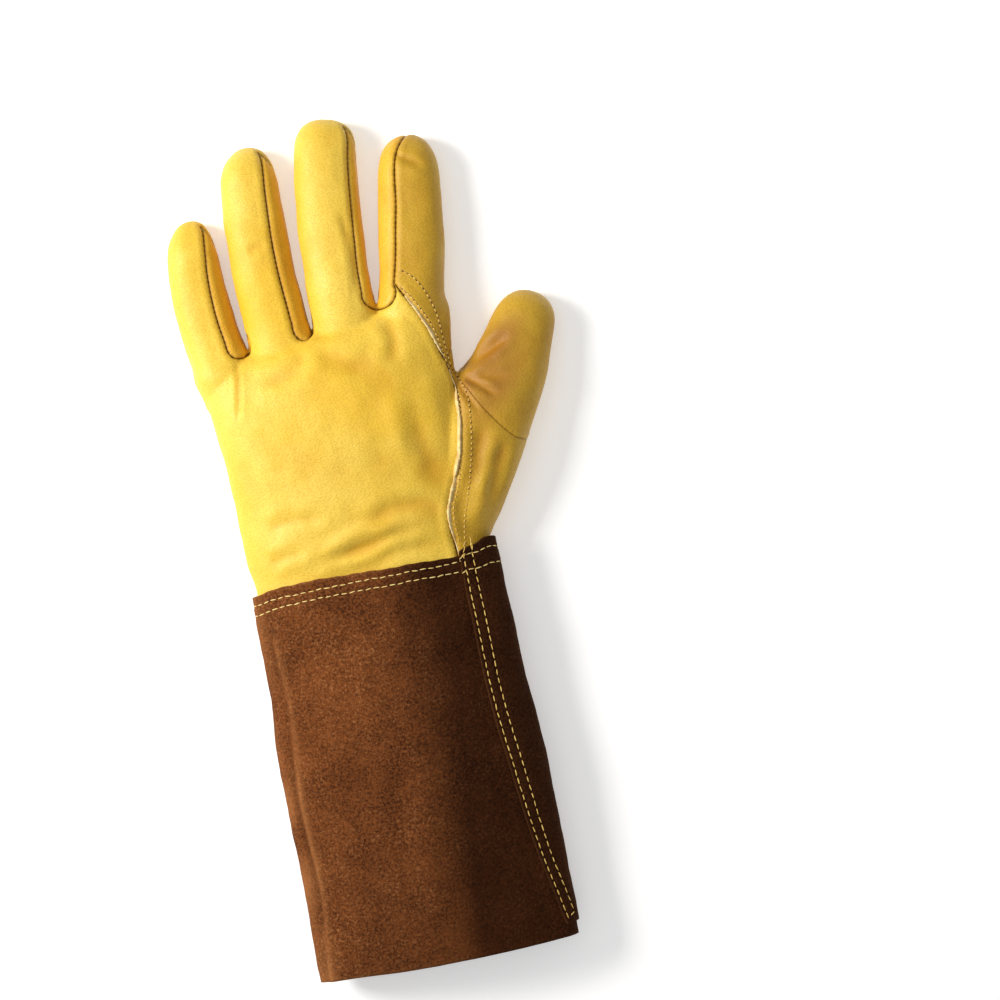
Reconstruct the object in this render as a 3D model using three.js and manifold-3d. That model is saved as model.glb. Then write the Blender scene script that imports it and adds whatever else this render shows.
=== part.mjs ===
// A long leather gauntlet for pruning roses: the left glove, lying palm down.
// Golden grain leather makes the hand and brown suede makes the long cuff.
// Millimetres, +Z up. The back of the hand faces +Z, the fingers point along +Y and the thumb lies
// towards +X. While it is drawn, the wrist line is y = 0 and the surface that it rests on is z = 0.
import * as THREE from "three";
import { mergeVertices } from "three/addons/utils/BufferGeometryUtils.js";
import Module from "manifold-3d";

const wasm = await Module();
wasm.setup();

// Leather thicknesses and the gap that is left between neighbouring pieces
const GRAIN_WALL = 1.3;
const SUEDE_WALL = 1.5;
const PATCH_WALL = 1.3;
const TAB_WALL = 1.3;
const GAP = 0.3;

// The hand, from the wrist line to the finger crotches
const PALM_LENGTH = 118;
const PALM_WIDTH = 118;
const PALM_HEIGHT = 38;
const KNUCKLE_SHIFT = -3;
const CROTCH_SLOPE = 0.11;
const WRIST_TUCK = 12;
const TUCK_CLEARANCE = 1.1;

// The fingers: length from crotch line to tip, width at the root, width near the tip and length
// of the rounded end as shares of the width, sideways lean and bow as shares of the length
const FINGER_HEIGHT = 23;
const FINGER_PARTING = 0.85;
const ROOT_OVERLAP = 0.6;
const ROOT_REACH = 0.28;
const ROOT_SINK = 4;
const FINGERS = [
  { name: "little", length: 71, width: 29, tip: 0.74, dome: 0.6, lean: -0.02, bow: -0.05 },
  { name: "ring", length: 97, width: 31.5, tip: 0.82, dome: 0.62, lean: 0.01, bow: -0.025 },
  { name: "middle", length: 99, width: 32.5, tip: 0.9, dome: 0.5, lean: 0.09, bow: -0.026 },
  { name: "index", length: 81, width: 33.5, tip: 0.82, dome: 0.6, lean: 0.165, bow: 0.006 },
];

// The thumb, from its root inside the hand to its tip
const THUMB_LENGTH = 101;
const THUMB_WIDTH = 46;
const THUMB_HEIGHT = 30;
const THUMB_LEAN = 29;
const THUMB_DOME = 0.36;
const THUMB_START = { x: 0.8, y: 0.28 };

// The cuff, from the wrist line to the hem
const CUFF_LENGTH = 187;
const CUFF_TOP_WIDTH = 119;
const CUFF_HEM_WIDTH = 126;
const CUFF_HEIGHT = 36;
const CUFF_LAP = 15;
// The lapped end lies over the other and comes down beside it. Shares of the lap.
const LAP_BLEND = { start: 1.2, end: 2.6 };

// Welts: the strip's width and how far it stands proud of the leather
const WELT_WIDTH = 1.5;
const WELT_PROUD = 0.8;

// The tab over the inside of the wrist
const TAB_WIDTH = 84;
const TAB_RISE = 11;
const TAB_DROP = 26;
const TAB_CORNER = 10;

// How finely the forms are drawn: sides of the cross-sections, steps along the seams and legs,
// and steps round the cuff over its lap, round it, up its thumb side and under the lap
const FINGER_SIDES = 18;
const HAND_SIDES = 28;
const LEG_STEPS = 7;
const FRONT_STEPS = 24;
const BACK_STEPS = 40;
const THUMB_STEPS = 16;
const PATCH_STEPS = 48;
const FOLD_STEPS = 14;
const CORNER_STEPS = 6;
const CUFF_STEPS = { lap: 6, round: 27, rise: 6, under: 4 };
const TURN_STEP = 0.01;
const FINEST = 0.03;

// Beyond everything
const FAR = 400;

// Cross-sections: 2 is an ellipse and more is fuller, and how much flatter they are where they rest
const FULLNESS = 2.3;
const FLATTENING = 0.3;
// A rounded end closes a little more from above than from below.
const DOME_BELOW = 0.7;
const DOME_ABOVE = 1.3;

// What lies under each piece sets its height above the surface
const PALM_FLOOR = PATCH_WALL + GAP;
const CUFF_TOP_FLOOR = TAB_WALL + GAP;
const WRIST_FLOOR = CUFF_TOP_FLOOR + SUEDE_WALL + GAP;
const LAP_STEP = SUEDE_WALL + GAP;

// Hand sections. at: share of the palm length. left, right: shares of half the palm width.
// top: share of the palm height.
const HAND_SECTIONS = [
  { at: 0.0, left: 0.99, right: 0.95, top: 0.9 },
  { at: 0.14, left: 0.995, right: 0.97, top: 0.94 },
  { at: 0.36, left: 0.99, right: 0.97, top: 0.99 },
  { at: 0.6, left: 1.01, right: 0.97, top: 1.02 },
  { at: 0.78, left: 1.03, right: 0.985, top: 0.98 },
  { at: 0.9, left: 1.06, right: 1.02, top: 0.9 },
  { at: 0.96, left: 1.09, right: 1.035, top: 0.79 },
  { at: 1.0, left: 1.08, right: 1.02, top: 0.6 },
];

// Finger heights. at: share of the length from the crotch line. top: share of the finger height.
const FINGER_TOPS = [
  { at: -0.28, top: 1.05 },
  { at: -0.08, top: 1.24 },
  { at: 0.0, top: 1.2 },
  { at: 0.15, top: 1.1 },
  { at: 0.4, top: 1.0 },
  { at: 0.75, top: 0.92 },
  { at: 1.0, top: 0.86 },
];

// Thumb sections. at: share of the thumb's length, under 0 inside the hand. side: sideways offset
// as a share of the thumb's width. width, top: shares of its width and height.
const THUMB_SECTIONS = [
  { at: -0.22, side: 0.0, width: 0.94, top: 0.96 },
  { at: 0.0, side: 0.0, width: 1.03, top: 1.02 },
  { at: 0.2, side: 0.01, width: 1.06, top: 1.04 },
  { at: 0.36, side: 0.04, width: 1.03, top: 1.02 },
  { at: 0.52, side: 0.096, width: 0.91, top: 0.94 },
  { at: 0.62, side: 0.138, width: 0.8, top: 0.88 },
  { at: 0.75, side: 0.148, width: 0.73, top: 0.8 },
  { at: 0.88, side: 0.156, width: 0.65, top: 0.72 },
  { at: 1.0, side: 0.15, width: 0.6, top: 0.66 },
];

// Cuff sections. at: share of the cuff's length. width: from 0, the width at the wrist, to 1,
// the width at the hem. top: share of the cuff's height. lap: where the lapped edge runs over the
// top, as a share of the half width. bow: how far the edge of the hide dips, as a share of the height.
const CUFF_SECTIONS = [
  { at: 0.0, width: 0.0, top: 1.0, lap: 0.71 },
  { at: 0.15, width: 0.12, top: 1.0, lap: 0.7 },
  { at: 0.35, width: 0.4, top: 1.03, lap: 0.7 },
  { at: 0.55, width: 0.72, top: 1.05, lap: 0.74 },
  { at: 0.75, width: 0.94, top: 1.03, lap: 0.8 },
  { at: 0.9, width: 1.0, top: 1.0, lap: 0.88 },
  { at: 1.0, width: 0.9, top: 0.97, lap: 0.93 },
];

// Side strips between the fingers. Each has two legs that meet at the crotch. at: share of the
// finger's length. top, bottom: degrees above the finger's middle height where its two seams run.
const LEG_REACH = 6;
// The strip's fold at the crotch, the share of its length that it is set back, and its lowest height
const CROTCH_FOLD = { width: 11, length: 16, back: 0.1, floor: 9 };
// The fronts of the fingers: how far their upper edges lean, and how high they reach at the roots
const FRONT_LEAN = 3;
const FRONT_OVERLAP = 0.2;
const FRONT_TOP = 9;
const LEG_SEAMS = {
  littleRight: [
    { at: -0.06, top: 52, bottom: -40 },
    { at: 0.08, top: 62, bottom: -24 },
    { at: 0.45, top: 57, bottom: -18 },
    { at: 0.8, top: 50, bottom: -8 },
    { at: 0.96, top: 44, bottom: 24 },
  ],
  ringLeft: [
    { at: -0.02, top: 10, bottom: -40 },
    { at: 0.1, top: 2, bottom: -44 },
    { at: 0.5, top: -6, bottom: -46 },
    { at: 0.95, top: -10, bottom: -30 },
  ],
  ringRight: [
    { at: -0.04, top: 42, bottom: -40 },
    { at: 0.1, top: 54, bottom: -26 },
    { at: 0.5, top: 52, bottom: -18 },
    { at: 0.85, top: 46, bottom: -8 },
    { at: 0.97, top: 40, bottom: 22 },
  ],
  middleLeft: [
    { at: -0.02, top: 10, bottom: -40 },
    { at: 0.1, top: 2, bottom: -44 },
    { at: 0.5, top: -4, bottom: -46 },
    { at: 0.95, top: -8, bottom: -28 },
  ],
  middleRight: [
    { at: -0.04, top: 30, bottom: -40 },
    { at: 0.12, top: 42, bottom: -34 },
    { at: 0.4, top: 37, bottom: -28 },
    { at: 0.8, top: 32, bottom: -16 },
    { at: 0.97, top: 28, bottom: 10 },
  ],
  indexLeft: [
    { at: -0.04, top: 46, bottom: -40 },
    { at: 0.12, top: 62, bottom: -26 },
    { at: 0.5, top: 67, bottom: -18 },
    { at: 0.82, top: 66, bottom: 0 },
    { at: 0.95, top: 60, bottom: 44 },
  ],
};

// Seams drawn in plan. x: share of half the palm width. y: share of the palm length.
// The seam down the back runs from the root of the index finger to the wrist.
const BACK_SEAM = [
  { x: 0.58, y: 1.18 },
  { x: 0.668, y: 1.1 },
  { x: 0.81, y: 0.963 },
  { x: 0.885, y: 0.84 },
  { x: 0.935, y: 0.745 },
  { x: 0.95, y: 0.64 },
  { x: 0.93, y: 0.52 },
  { x: 0.86, y: 0.386 },
  { x: 0.78, y: 0.27 },
  { x: 0.72, y: 0.17 },
  { x: 0.705, y: 0.03 },
  { x: 0.705, y: -0.2 },
];
// The arc of the welt under the roots of the ring and middle fingers
const FRONT_SEAM = [
  { x: -0.76, y: 1.0 },
  { x: -0.63, y: 0.955 },
  { x: -0.36, y: 0.925 },
  { x: -0.1, y: 0.93 },
  { x: 0.18, y: 0.935 },
  { x: 0.42, y: 0.97 },
  { x: 0.53, y: 1.03 },
];
// The seam round the ball of the thumb on the palm, from its crotch towards the wrist
const BALL_SEAM = [
  { x: 1.02, y: 0.79 },
  { x: 0.96, y: 0.72 },
  { x: 0.91, y: 0.64 },
  { x: 0.88, y: 0.5 },
  { x: 0.87, y: 0.3 },
  { x: 0.84, y: 0.1 },
];
// The seam on the palm side of the thumb's outer edge, from the wrist upwards
const EDGE_SEAM = [
  { x: 0.84, y: 0.1 },
  { x: 1.12, y: 0.28 },
  { x: 1.3, y: 0.37 },
  { x: 1.42, y: 0.415 },
  { x: 1.75, y: 0.38 },
];
// The seam across the back of the thumb's root, from its crotch to its outer edge
const ROOT_SEAM = [
  { x: 0.93, y: 0.79 },
  { x: 0.99, y: 0.71 },
  { x: 1.13, y: 0.58 },
  { x: 1.3, y: 0.46 },
  { x: 1.42, y: 0.415 },
  { x: 1.75, y: 0.38 },
];
// The seam along the little finger's side. y: share of the palm length. z: share of its height.
const SIDE_SEAM = [
  { y: -0.25, z: 0.5 },
  { y: 0.55, z: 0.48 },
  { y: 0.85, z: 0.4 },
  { y: 1.05, z: 0.33 },
  { y: 1.4, z: 0.29 },
  { y: 1.58, z: 0.2 },
  { y: 2.2, z: 0.2 },
];
const THUMB_SIDE_HEIGHT = 0.37;

// The outline of the knuckle patch, from its little-finger end round to its thumb end
const PATCH_OUTLINE = [
  { x: -0.95, y: 0.885 },
  { x: -0.3, y: 0.89 },
  { x: 0.3, y: 0.895 },
  { x: 0.72, y: 0.88 },
  { x: 0.88, y: 0.83 },
  { x: 0.93, y: 0.74 },
  { x: 0.9, y: 0.65 },
  { x: 0.78, y: 0.59 },
  { x: 0.3, y: 0.555 },
  { x: -0.3, y: 0.535 },
  { x: -0.95, y: 0.515 },
];

// Turns a closed geometry into a solid that can be cut and joined.
function solidOf(geometry) {
  geometry.deleteAttribute("normal");
  geometry.deleteAttribute("uv");
  const merged = mergeVertices(geometry, 1e-4);
  return new wasm.Manifold(
    new wasm.Mesh({
      numProp: 3,
      vertProperties: merged.attributes.position.array,
      triVerts: new Uint32Array(merged.index.array),
    }),
  );
}

// Reads a table's column at any place, along a smooth curve through its rows.
function along(table, column, at) {
  const last = table.length - 1;
  if (at <= table[0].at) return table[0][column];
  if (at >= table[last].at) return table[last][column];
  const i = table.findIndex((row) => row.at > at) - 1;
  const slope = (k) => {
    const before = table[Math.max(k - 1, 0)];
    const after = table[Math.min(k + 1, last)];
    return (after[column] - before[column]) / (after.at - before.at);
  };
  const step = table[i + 1].at - table[i].at;
  const t = (at - table[i].at) / step;
  const [a, b] = [table[i][column], table[i + 1][column]];
  const [ma, mb] = [slope(i) * step, slope(i + 1) * step];
  const [t2, t3] = [t * t, t * t * t];
  return (2 * t3 - 3 * t2 + 1) * a + (t3 - 2 * t2 + t) * ma + (3 * t2 - 2 * t3) * b + (t3 - t2) * mb;
}

// A solid through closed rings of points, with a fan over each end.
function loft(rings) {
  const sides = rings[0].length;
  const points = rings.flat();
  const faces = [];
  for (let r = 0; r < rings.length - 1; r++) {
    for (let i = 0; i < sides; i++) {
      const j = (i + 1) % sides;
      const [a, b, c, d] = [r * sides + i, r * sides + j, (r + 1) * sides + j, (r + 1) * sides + i];
      faces.push(a, b, c, a, c, d);
    }
  }
  for (const [r, turned] of [[0, true], [rings.length - 1, false]]) {
    const middle = points.length;
    points.push(rings[r].reduce((sum, p) => sum.add(p), new THREE.Vector3()).divideScalar(sides));
    for (let i = 0; i < sides; i++) {
      const [a, b] = [r * sides + i, r * sides + ((i + 1) % sides)];
      faces.push(middle, ...(turned ? [b, a] : [a, b]));
    }
  }
  const geometry = new THREE.BufferGeometry().setFromPoints(points).setIndex(faces);
  return solidOf(geometry);
}

// One cross-section of a leather tube: full and round above, flat below where it rests.
// It is centred on (x, y), faces along the heading, and grows or shrinks evenly by grow.
function sectionPoint({ x, y, heading = 0, skew = 0, half, floor, top }, turn, grow) {
  const [c, s] = [Math.cos(turn), Math.sin(turn)];
  const tall = (top - floor) / 2 + grow;
  const across = (half + grow) * Math.sign(c) * Math.abs(c) ** (2 / FULLNESS);
  const rise = tall * Math.sign(s) * Math.abs(s) ** (2 / FULLNESS);
  const z = (floor + top) / 2 + Math.max(s < 0 ? rise * (1 + FLATTENING) : rise, -tall);
  return new THREE.Vector3(
    x + across * Math.cos(heading),
    y - across * (Math.sin(heading) - skew),
    z,
  );
}
const section = (where, grow) =>
  Array.from({ length: where.sides }, (_, i) =>
    sectionPoint(where, (-2 * Math.PI * i) / where.sides, grow),
  );

const HALF_PALM = PALM_WIDTH / 2;
const crotchLine = (x) => PALM_LENGTH + CROTCH_SLOPE * x;

// The roots of the fingers stand side by side, each as wide as its finger.
const rowWidth = FINGERS.reduce((sum, finger) => sum + finger.width, 0);
let edge = KNUCKLE_SHIFT - rowWidth / 2;
for (const finger of FINGERS) {
  finger.rootX = edge + finger.width / 2;
  finger.rootY = crotchLine(finger.rootX);
  edge += finger.width;
}
const [LITTLE, RING, MIDDLE, INDEX] = FINGERS;
const crotchAfter = (finger) => {
  const x = finger.rootX + finger.width / 2;
  return { x, y: crotchLine(x) };
};

// A finger's cross-section at a share of its length. Shares under 0 lie inside the hand.
function fingerSection(finger, at) {
  const place = (t) => {
    const bow = finger.bow * finger.length * 4 * Math.max(t, 0) * (1 - Math.max(t, 0));
    return { x: finger.rootX + finger.lean * finger.length * t + bow, y: finger.rootY + finger.length * t };
  };
  const { x, y } = place(at);
  const ahead = place(at + 0.01);
  const domeStart = 1 - (finger.dome * finger.width) / finger.length;
  const onDome = Math.max(0, (at - domeStart) / (1 - domeStart));
  const dome = Math.sqrt(Math.max(0, 1 - onDome * onDome));
  const taper = 1 - (1 - finger.tip) * Math.max(at, 0) ** 1.6;
  const top = FINGER_HEIGHT * along(FINGER_TOPS, "top", at);
  const buried = ROOT_SINK * THREE.MathUtils.smoothstep(-at, 0, ROOT_REACH);
  const floor = PALM_FLOOR * (1 - THREE.MathUtils.smoothstep(at, -0.05, 0.2)) + buried;
  const lowered = (top - floor) * (1 - dome) * 0.5;
  const parted = FINGER_PARTING * THREE.MathUtils.smoothstep(at, -0.06, 0.06);
  return {
    x,
    y,
    heading: Math.atan2(ahead.x - x, ahead.y - y),
    half: (finger.width / 2 + ROOT_OVERLAP - parted - buried) * taper * dome,
    floor: floor + lowered * DOME_BELOW,
    top: top - lowered * DOME_ABOVE,
    sides: FINGER_SIDES,
  };
}

const FINGER_STATIONS = [-ROOT_REACH, -0.08, 0.02, 0.1, 0.3, 0.5, 0.68, 0.8, 0.88, 0.94, 0.98];
const fingerForm = (finger, grow) =>
  loft(
    FINGER_STATIONS.map((at) => {
      const where = fingerSection(finger, at);
      return section({ ...where, y: where.y + Math.max(0, at) ** 6 * grow }, grow);
    }),
  );

// The thumb's cross-section at a share of its length.
const THUMB_ROOT = { x: THUMB_START.x * HALF_PALM, y: THUMB_START.y * PALM_LENGTH };
const THUMB_TURN = THREE.MathUtils.degToRad(THUMB_LEAN);
function thumbSection(at) {
  const run = THUMB_LENGTH * at;
  const side = THUMB_WIDTH * along(THUMB_SECTIONS, "side", at);
  const domeStart = 1 - (THUMB_DOME * THUMB_WIDTH) / THUMB_LENGTH;
  const onDome = Math.max(0, (at - domeStart) / (1 - domeStart));
  const dome = Math.sqrt(Math.max(0, 1 - onDome * onDome));
  const top = THUMB_HEIGHT * along(THUMB_SECTIONS, "top", at);
  const floor = PALM_FLOOR * (1 - THREE.MathUtils.smoothstep(at, 0.3, 0.6));
  const lowered = (top - floor) * (1 - dome) * 0.5;
  return {
    x: THUMB_ROOT.x + run * Math.sin(THUMB_TURN) + side * Math.cos(THUMB_TURN),
    y: THUMB_ROOT.y + run * Math.cos(THUMB_TURN) - side * Math.sin(THUMB_TURN),
    heading: THUMB_TURN,
    half: (THUMB_WIDTH / 2) * along(THUMB_SECTIONS, "width", at) * dome,
    floor: floor + lowered * DOME_BELOW,
    top: top - lowered * DOME_ABOVE,
    sides: FINGER_SIDES,
  };
}
const THUMB_STATIONS = [-0.22, 0, 0.2, 0.36, 0.52, 0.66, 0.78, 0.87, 0.93, 0.97];
const thumbForm = (grow) =>
  loft(
    THUMB_STATIONS.map((at) => {
      const where = thumbSection(at);
      const ahead = Math.max(0, at) ** 6 * grow;
      where.x += ahead * Math.sin(THUMB_TURN);
      where.y += ahead * Math.cos(THUMB_TURN);
      return section(where, grow);
    }),
  );

// The cuff's cross-section at a share of its length from the wrist line.
function cuffSection(at) {
  return {
    x: 0,
    y: -CUFF_LENGTH * at,
    half: (CUFF_TOP_WIDTH + (CUFF_HEM_WIDTH - CUFF_TOP_WIDTH) * along(CUFF_SECTIONS, "width", at)) / 2,
    floor: CUFF_TOP_FLOOR * (1 - THREE.MathUtils.smoothstep(at, 0.14, 0.3)),
    top: CUFF_HEIGHT * along(CUFF_SECTIONS, "top", at),
  };
}

// The hand's cross-section at a share of the palm length. It fits inside the cuff at the wrist.
function handSection(at) {
  const left = HALF_PALM * along(HAND_SECTIONS, "left", at);
  const right = HALF_PALM * along(HAND_SECTIONS, "right", at);
  const x = (right - left) / 2;
  const tuck = 1 - THREE.MathUtils.smoothstep(at, 0.02, 0.12);
  return {
    x,
    y: PALM_LENGTH * at + CROTCH_SLOPE * x * at,
    skew: CROTCH_SLOPE * Math.max(at, 0) ** 2,
    half: (left + right) / 2,
    floor: PALM_FLOOR + (WRIST_FLOOR - PALM_FLOOR) * tuck + THREE.MathUtils.smoothstep(at, 0.95, 1) * 3,
    top: PALM_HEIGHT * along(HAND_SECTIONS, "top", at),
    sides: HAND_SIDES,
  };
}
const wristFit = cuffSection(0);
const WRIST = {
  ...handSection(0),
  x: 0,
  half: wristFit.half - SUEDE_WALL - TUCK_CLEARANCE,
  floor: WRIST_FLOOR,
  top: wristFit.top - SUEDE_WALL - TUCK_CLEARANCE,
};
const HAND_STATIONS = [0.07, 0.14, 0.3, 0.46, 0.62, 0.76, 0.87, 0.94, 0.98, 1.0];
function handForm(grow, tuck) {
  const sections = [{ ...WRIST, y: -tuck }, { ...WRIST, y: GAP }, ...HAND_STATIONS.map(handSection)];
  return loft(
    sections.map((where) =>
      section({ ...where, y: where.y + (Math.max(0, where.y) / PALM_LENGTH) ** 6 * grow }, grow),
    ),
  );
}

// The whole hand as one closed form, grown or shrunk evenly.
const together = (forms) => forms.reduce((whole, form) => whole.add(form));
const handAndFingers = (grow, tuck) =>
  together([handForm(grow, tuck), thumbForm(grow), ...FINGERS.map((finger) => fingerForm(finger, grow))]);

// Cuts leave slivers: the piece is the largest body, with its specks of edges cleaned away.
const largest = (solid) => {
  const cleaned = solid.asOriginal().simplify(FINEST);
  return cleaned.decompose().reduce((a, b) => (b.volume() > a.volume() ? b : a));
};

// A seam's table as points in plan, along a smooth curve.
const curveOf = (seam, steps) =>
  new THREE.SplineCurve(
    seam.map(({ x, y }) => new THREE.Vector2(x * HALF_PALM, y * PALM_LENGTH)),
  ).getPoints(steps);

// An upright block with the plan of an outline, between two heights.
function block(outline, low, high) {
  const shape = new THREE.Shape(outline);
  const geometry = new THREE.ExtrudeGeometry(shape, { depth: high - low, bevelEnabled: false });
  return solidOf(geometry.translate(0, 0, low));
}

// An upright ribbon that follows a curve in plan.
function ribbon(curve, width, low, high) {
  const across = curve.map((point, i) => {
    const before = curve[Math.max(i - 1, 0)];
    const after = curve[Math.min(i + 1, curve.length - 1)];
    const ahead = after.clone().sub(before).normalize();
    return new THREE.Vector2(-ahead.y, ahead.x).multiplyScalar(width / 2);
  });
  const one = curve.map((point, i) => point.clone().add(across[i]));
  const other = curve.map((point, i) => point.clone().sub(across[i])).reverse();
  return block([...one, ...other], low, high);
}

// A loft through outlines drawn in a finger's cross-section, where across runs sideways from the
// finger's middle and up from its middle height.
const fingerLoft = (finger, stations, outlineAt) =>
  loft(
    stations.map((at) => {
      const where = fingerSection(finger, at);
      const middle = (where.floor + where.top) / 2;
      const points = outlineAt(at, where).map(
        ([across, up]) =>
          new THREE.Vector3(
            where.x + across * Math.cos(where.heading),
            where.y - across * Math.sin(where.heading),
            middle + up,
          ),
      );
      return points.reverse();
    }),
  );

// One leg of a side strip: a wedge along the finger's side, opened or closed evenly by grow.
function leg(finger, seams, side, grow) {
  const first = seams[0].at;
  const last = seams[seams.length - 1].at;
  const stations = Array.from({ length: LEG_STEPS + 1 }, (_, i) => first + ((last - first) * i) / LEG_STEPS);
  stations[0] -= grow / finger.length;
  stations[LEG_STEPS] += grow / finger.length;
  return fingerLoft(finger, stations, (at, where) => {
    const top = THREE.MathUtils.degToRad(along(seams, "top", at));
    const bottom = THREE.MathUtils.degToRad(along(seams, "bottom", at));
    const opening = (top - bottom) / 2;
    const back = grow / Math.sin(opening);
    const middle = (top + bottom) / 2;
    const reach = where.half + LEG_REACH;
    const start = [-back * Math.cos(middle), -back * Math.sin(middle)];
    const ends = [bottom, middle, top].map((angle) => {
      const away = reach / Math.cos(opening / 2);
      return [start[0] + away * Math.cos(angle), start[1] + away * Math.sin(angle)];
    });
    const outline = [start, ...ends].map(([across, up]) => [side * across, up]);
    return side > 0 ? outline : outline.reverse();
  });
}

// The middle of a side strip is folded round the crotch: a rounded block in plan.
function crotchFold(finger, grow) {
  const { x, y } = crotchAfter(finger);
  const outline = new THREE.EllipseCurve(
    x,
    y - CROTCH_FOLD.back * CROTCH_FOLD.length,
    CROTCH_FOLD.width / 2 + grow,
    CROTCH_FOLD.length / 2 + grow,
  ).getPoints(FOLD_STEPS);
  return block(outline.slice(0, -1), CROTCH_FOLD.floor - grow, FAR);
}

const strips = [
  { name: "gusset_little_ring", left: LITTLE, right: RING, seams: ["littleRight", "ringLeft"] },
  { name: "gusset_ring_middle", left: RING, right: MIDDLE, seams: ["ringRight", "middleLeft"] },
  { name: "gusset_middle_index", left: MIDDLE, right: INDEX, seams: ["middleRight", "indexLeft"] },
];
const stripZone = ({ left, right, seams }, grow) =>
  together([
    leg(left, LEG_SEAMS[seams[0]], 1, grow).intersect(fingerForm(left, GAP + grow)),
    leg(right, LEG_SEAMS[seams[1]], -1, grow).intersect(fingerForm(right, GAP + grow)),
    crotchFold(left, grow),
  ]);

// The fronts of the ring and middle fingers end in an arc on the palm. Above, they end inside
// the side strips, so the top of the zone leans from one strip to the other.
const frontCurve = curveOf(FRONT_SEAM, FRONT_STEPS);
const arcHeights = frontCurve.map(({ x, y }) => ({ at: x, y }));
const arcPoint = (x) => new THREE.Vector2(x, along(arcHeights, "y", x));
const frontMiddle = [
  { x: crotchAfter(RING).x - 1, y: 0.8 * PALM_LENGTH },
  crotchAfter(RING),
  { x: crotchAfter(RING).x + 0.06 * FINGERS[1].length, y: PALM_LENGTH * 2 },
].map(({ x, y }) => new THREE.Vector2(x, y));
const FRONT_STATIONS = [-0.02, 0.1, 0.3, 0.5, 0.7, 0.85, 0.94, 1.0, 1.06];
const FRONT_ROOT_TOP = 0.04;
function frontZone(finger, grow) {
  const wide = finger.width / 2 + FRONT_OVERLAP;
  const fingerPart = fingerLoft(finger, FRONT_STATIONS, () => [
    [-wide, -FAR],
    [wide, -FAR],
    [wide, grow + FRONT_LEAN],
    [-wide, grow - FRONT_LEAN],
  ]);
  const left = finger === RING ? frontCurve[0].x : frontMiddle[1].x;
  const right = finger === RING ? frontMiddle[1].x : frontCurve[frontCurve.length - 1].x;
  const arc = frontCurve.filter((point) => point.x > left && point.x < right);
  const top = finger.rootY + FRONT_ROOT_TOP * finger.length;
  const outline = [
    arcPoint(left),
    ...arc,
    arcPoint(right),
    new THREE.Vector2(right, top),
    new THREE.Vector2(left, top),
  ];
  return fingerPart.add(block(outline, -FAR, FRONT_TOP + grow));
}

const outer = handAndFingers(0, WRIST_TUCK);
const inner = handAndFingers(-GRAIN_WALL, WRIST_TUCK + 5);
const shell = largest(outer.subtract(inner));
const half = GAP / 2;

const allStrips = together(strips.map((strip) => stripZone(strip, half)));
const gussets = strips.map((strip) => ({
  name: strip.name,
  solid: largest(shell.intersect(stripZone(strip, -half))),
}));

// The seam on the back carries a welt, so the panels stand a welt's width apart there.
const BACK_RIBBON_FLOOR = 0.3;
const backCurve = curveOf(BACK_SEAM, BACK_STEPS);
const backRibbon = (width) => ribbon(backCurve, width, BACK_RIBBON_FLOOR * PALM_HEIGHT, FAR);
const frontRibbon = (width) => ribbon(frontCurve, width, -FAR, FRONT_TOP);
const between = ribbon(frontMiddle, GAP, -FAR, FRONT_TOP);
const weltGap = WELT_WIDTH + 2 * GAP;

const fronts = [RING, MIDDLE].map((finger) => ({
  name: finger.name + "_front",
  solid: largest(
    shell
      .intersect(frontZone(finger, -half))
      .subtract(allStrips)
      .subtract(frontRibbon(weltGap))
      .subtract(between),
  ),
}));
const allFronts = together([frontZone(RING, half), frontZone(MIDDLE, half)]);

// The back is everything above the side seam and left of the welt.
function sideSlab(shift) {
  const edge = SIDE_SEAM.map(({ y, z }) => new THREE.Vector2(y * PALM_LENGTH, z * PALM_HEIGHT + shift));
  const shape = new THREE.Shape([...edge, new THREE.Vector2(FAR, FAR), new THREE.Vector2(-FAR / 2, FAR)]);
  const geometry = new THREE.ExtrudeGeometry(shape, { depth: 2 * FAR, bevelEnabled: false });
  geometry.applyMatrix4(new THREE.Matrix4().set(0, 0, 1, -FAR, 1, 0, 0, 0, 0, 1, 0, 0, 0, 0, 0, 1));
  return solidOf(geometry);
}
const parting = [
  new THREE.Vector2(-FAR, 2.5 * PALM_LENGTH),
  new THREE.Vector2(0.68 * HALF_PALM, 2.5 * PALM_LENGTH),
  new THREE.Vector2(0.62 * HALF_PALM, 1.6 * PALM_LENGTH),
  new THREE.Vector2(crotchAfter(MIDDLE).x, crotchAfter(MIDDLE).y),
];
const backOutline = [...parting, ...backCurve, new THREE.Vector2(-FAR, -0.3 * PALM_LENGTH)];
const leftOfSeam = block(backOutline.reverse(), -FAR, FAR);
const fingerZone = (finger) =>
  fingerLoft(finger, [0.03, 0.3, 0.6, 0.9, 1.1], () => {
    const wide = finger.width / 2;
    return [
      [-wide, -FAR],
      [wide, -FAR],
      [wide, FAR],
      [-wide, FAR],
    ];
  });
const backZone = (shift) =>
  together([sideSlab(shift), fingerZone(RING), fingerZone(MIDDLE)]).intersect(leftOfSeam);
const backPanel = largest(
  shell.intersect(backZone(half)).subtract(allFronts).subtract(allStrips).subtract(backRibbon(weltGap)),
);

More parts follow.
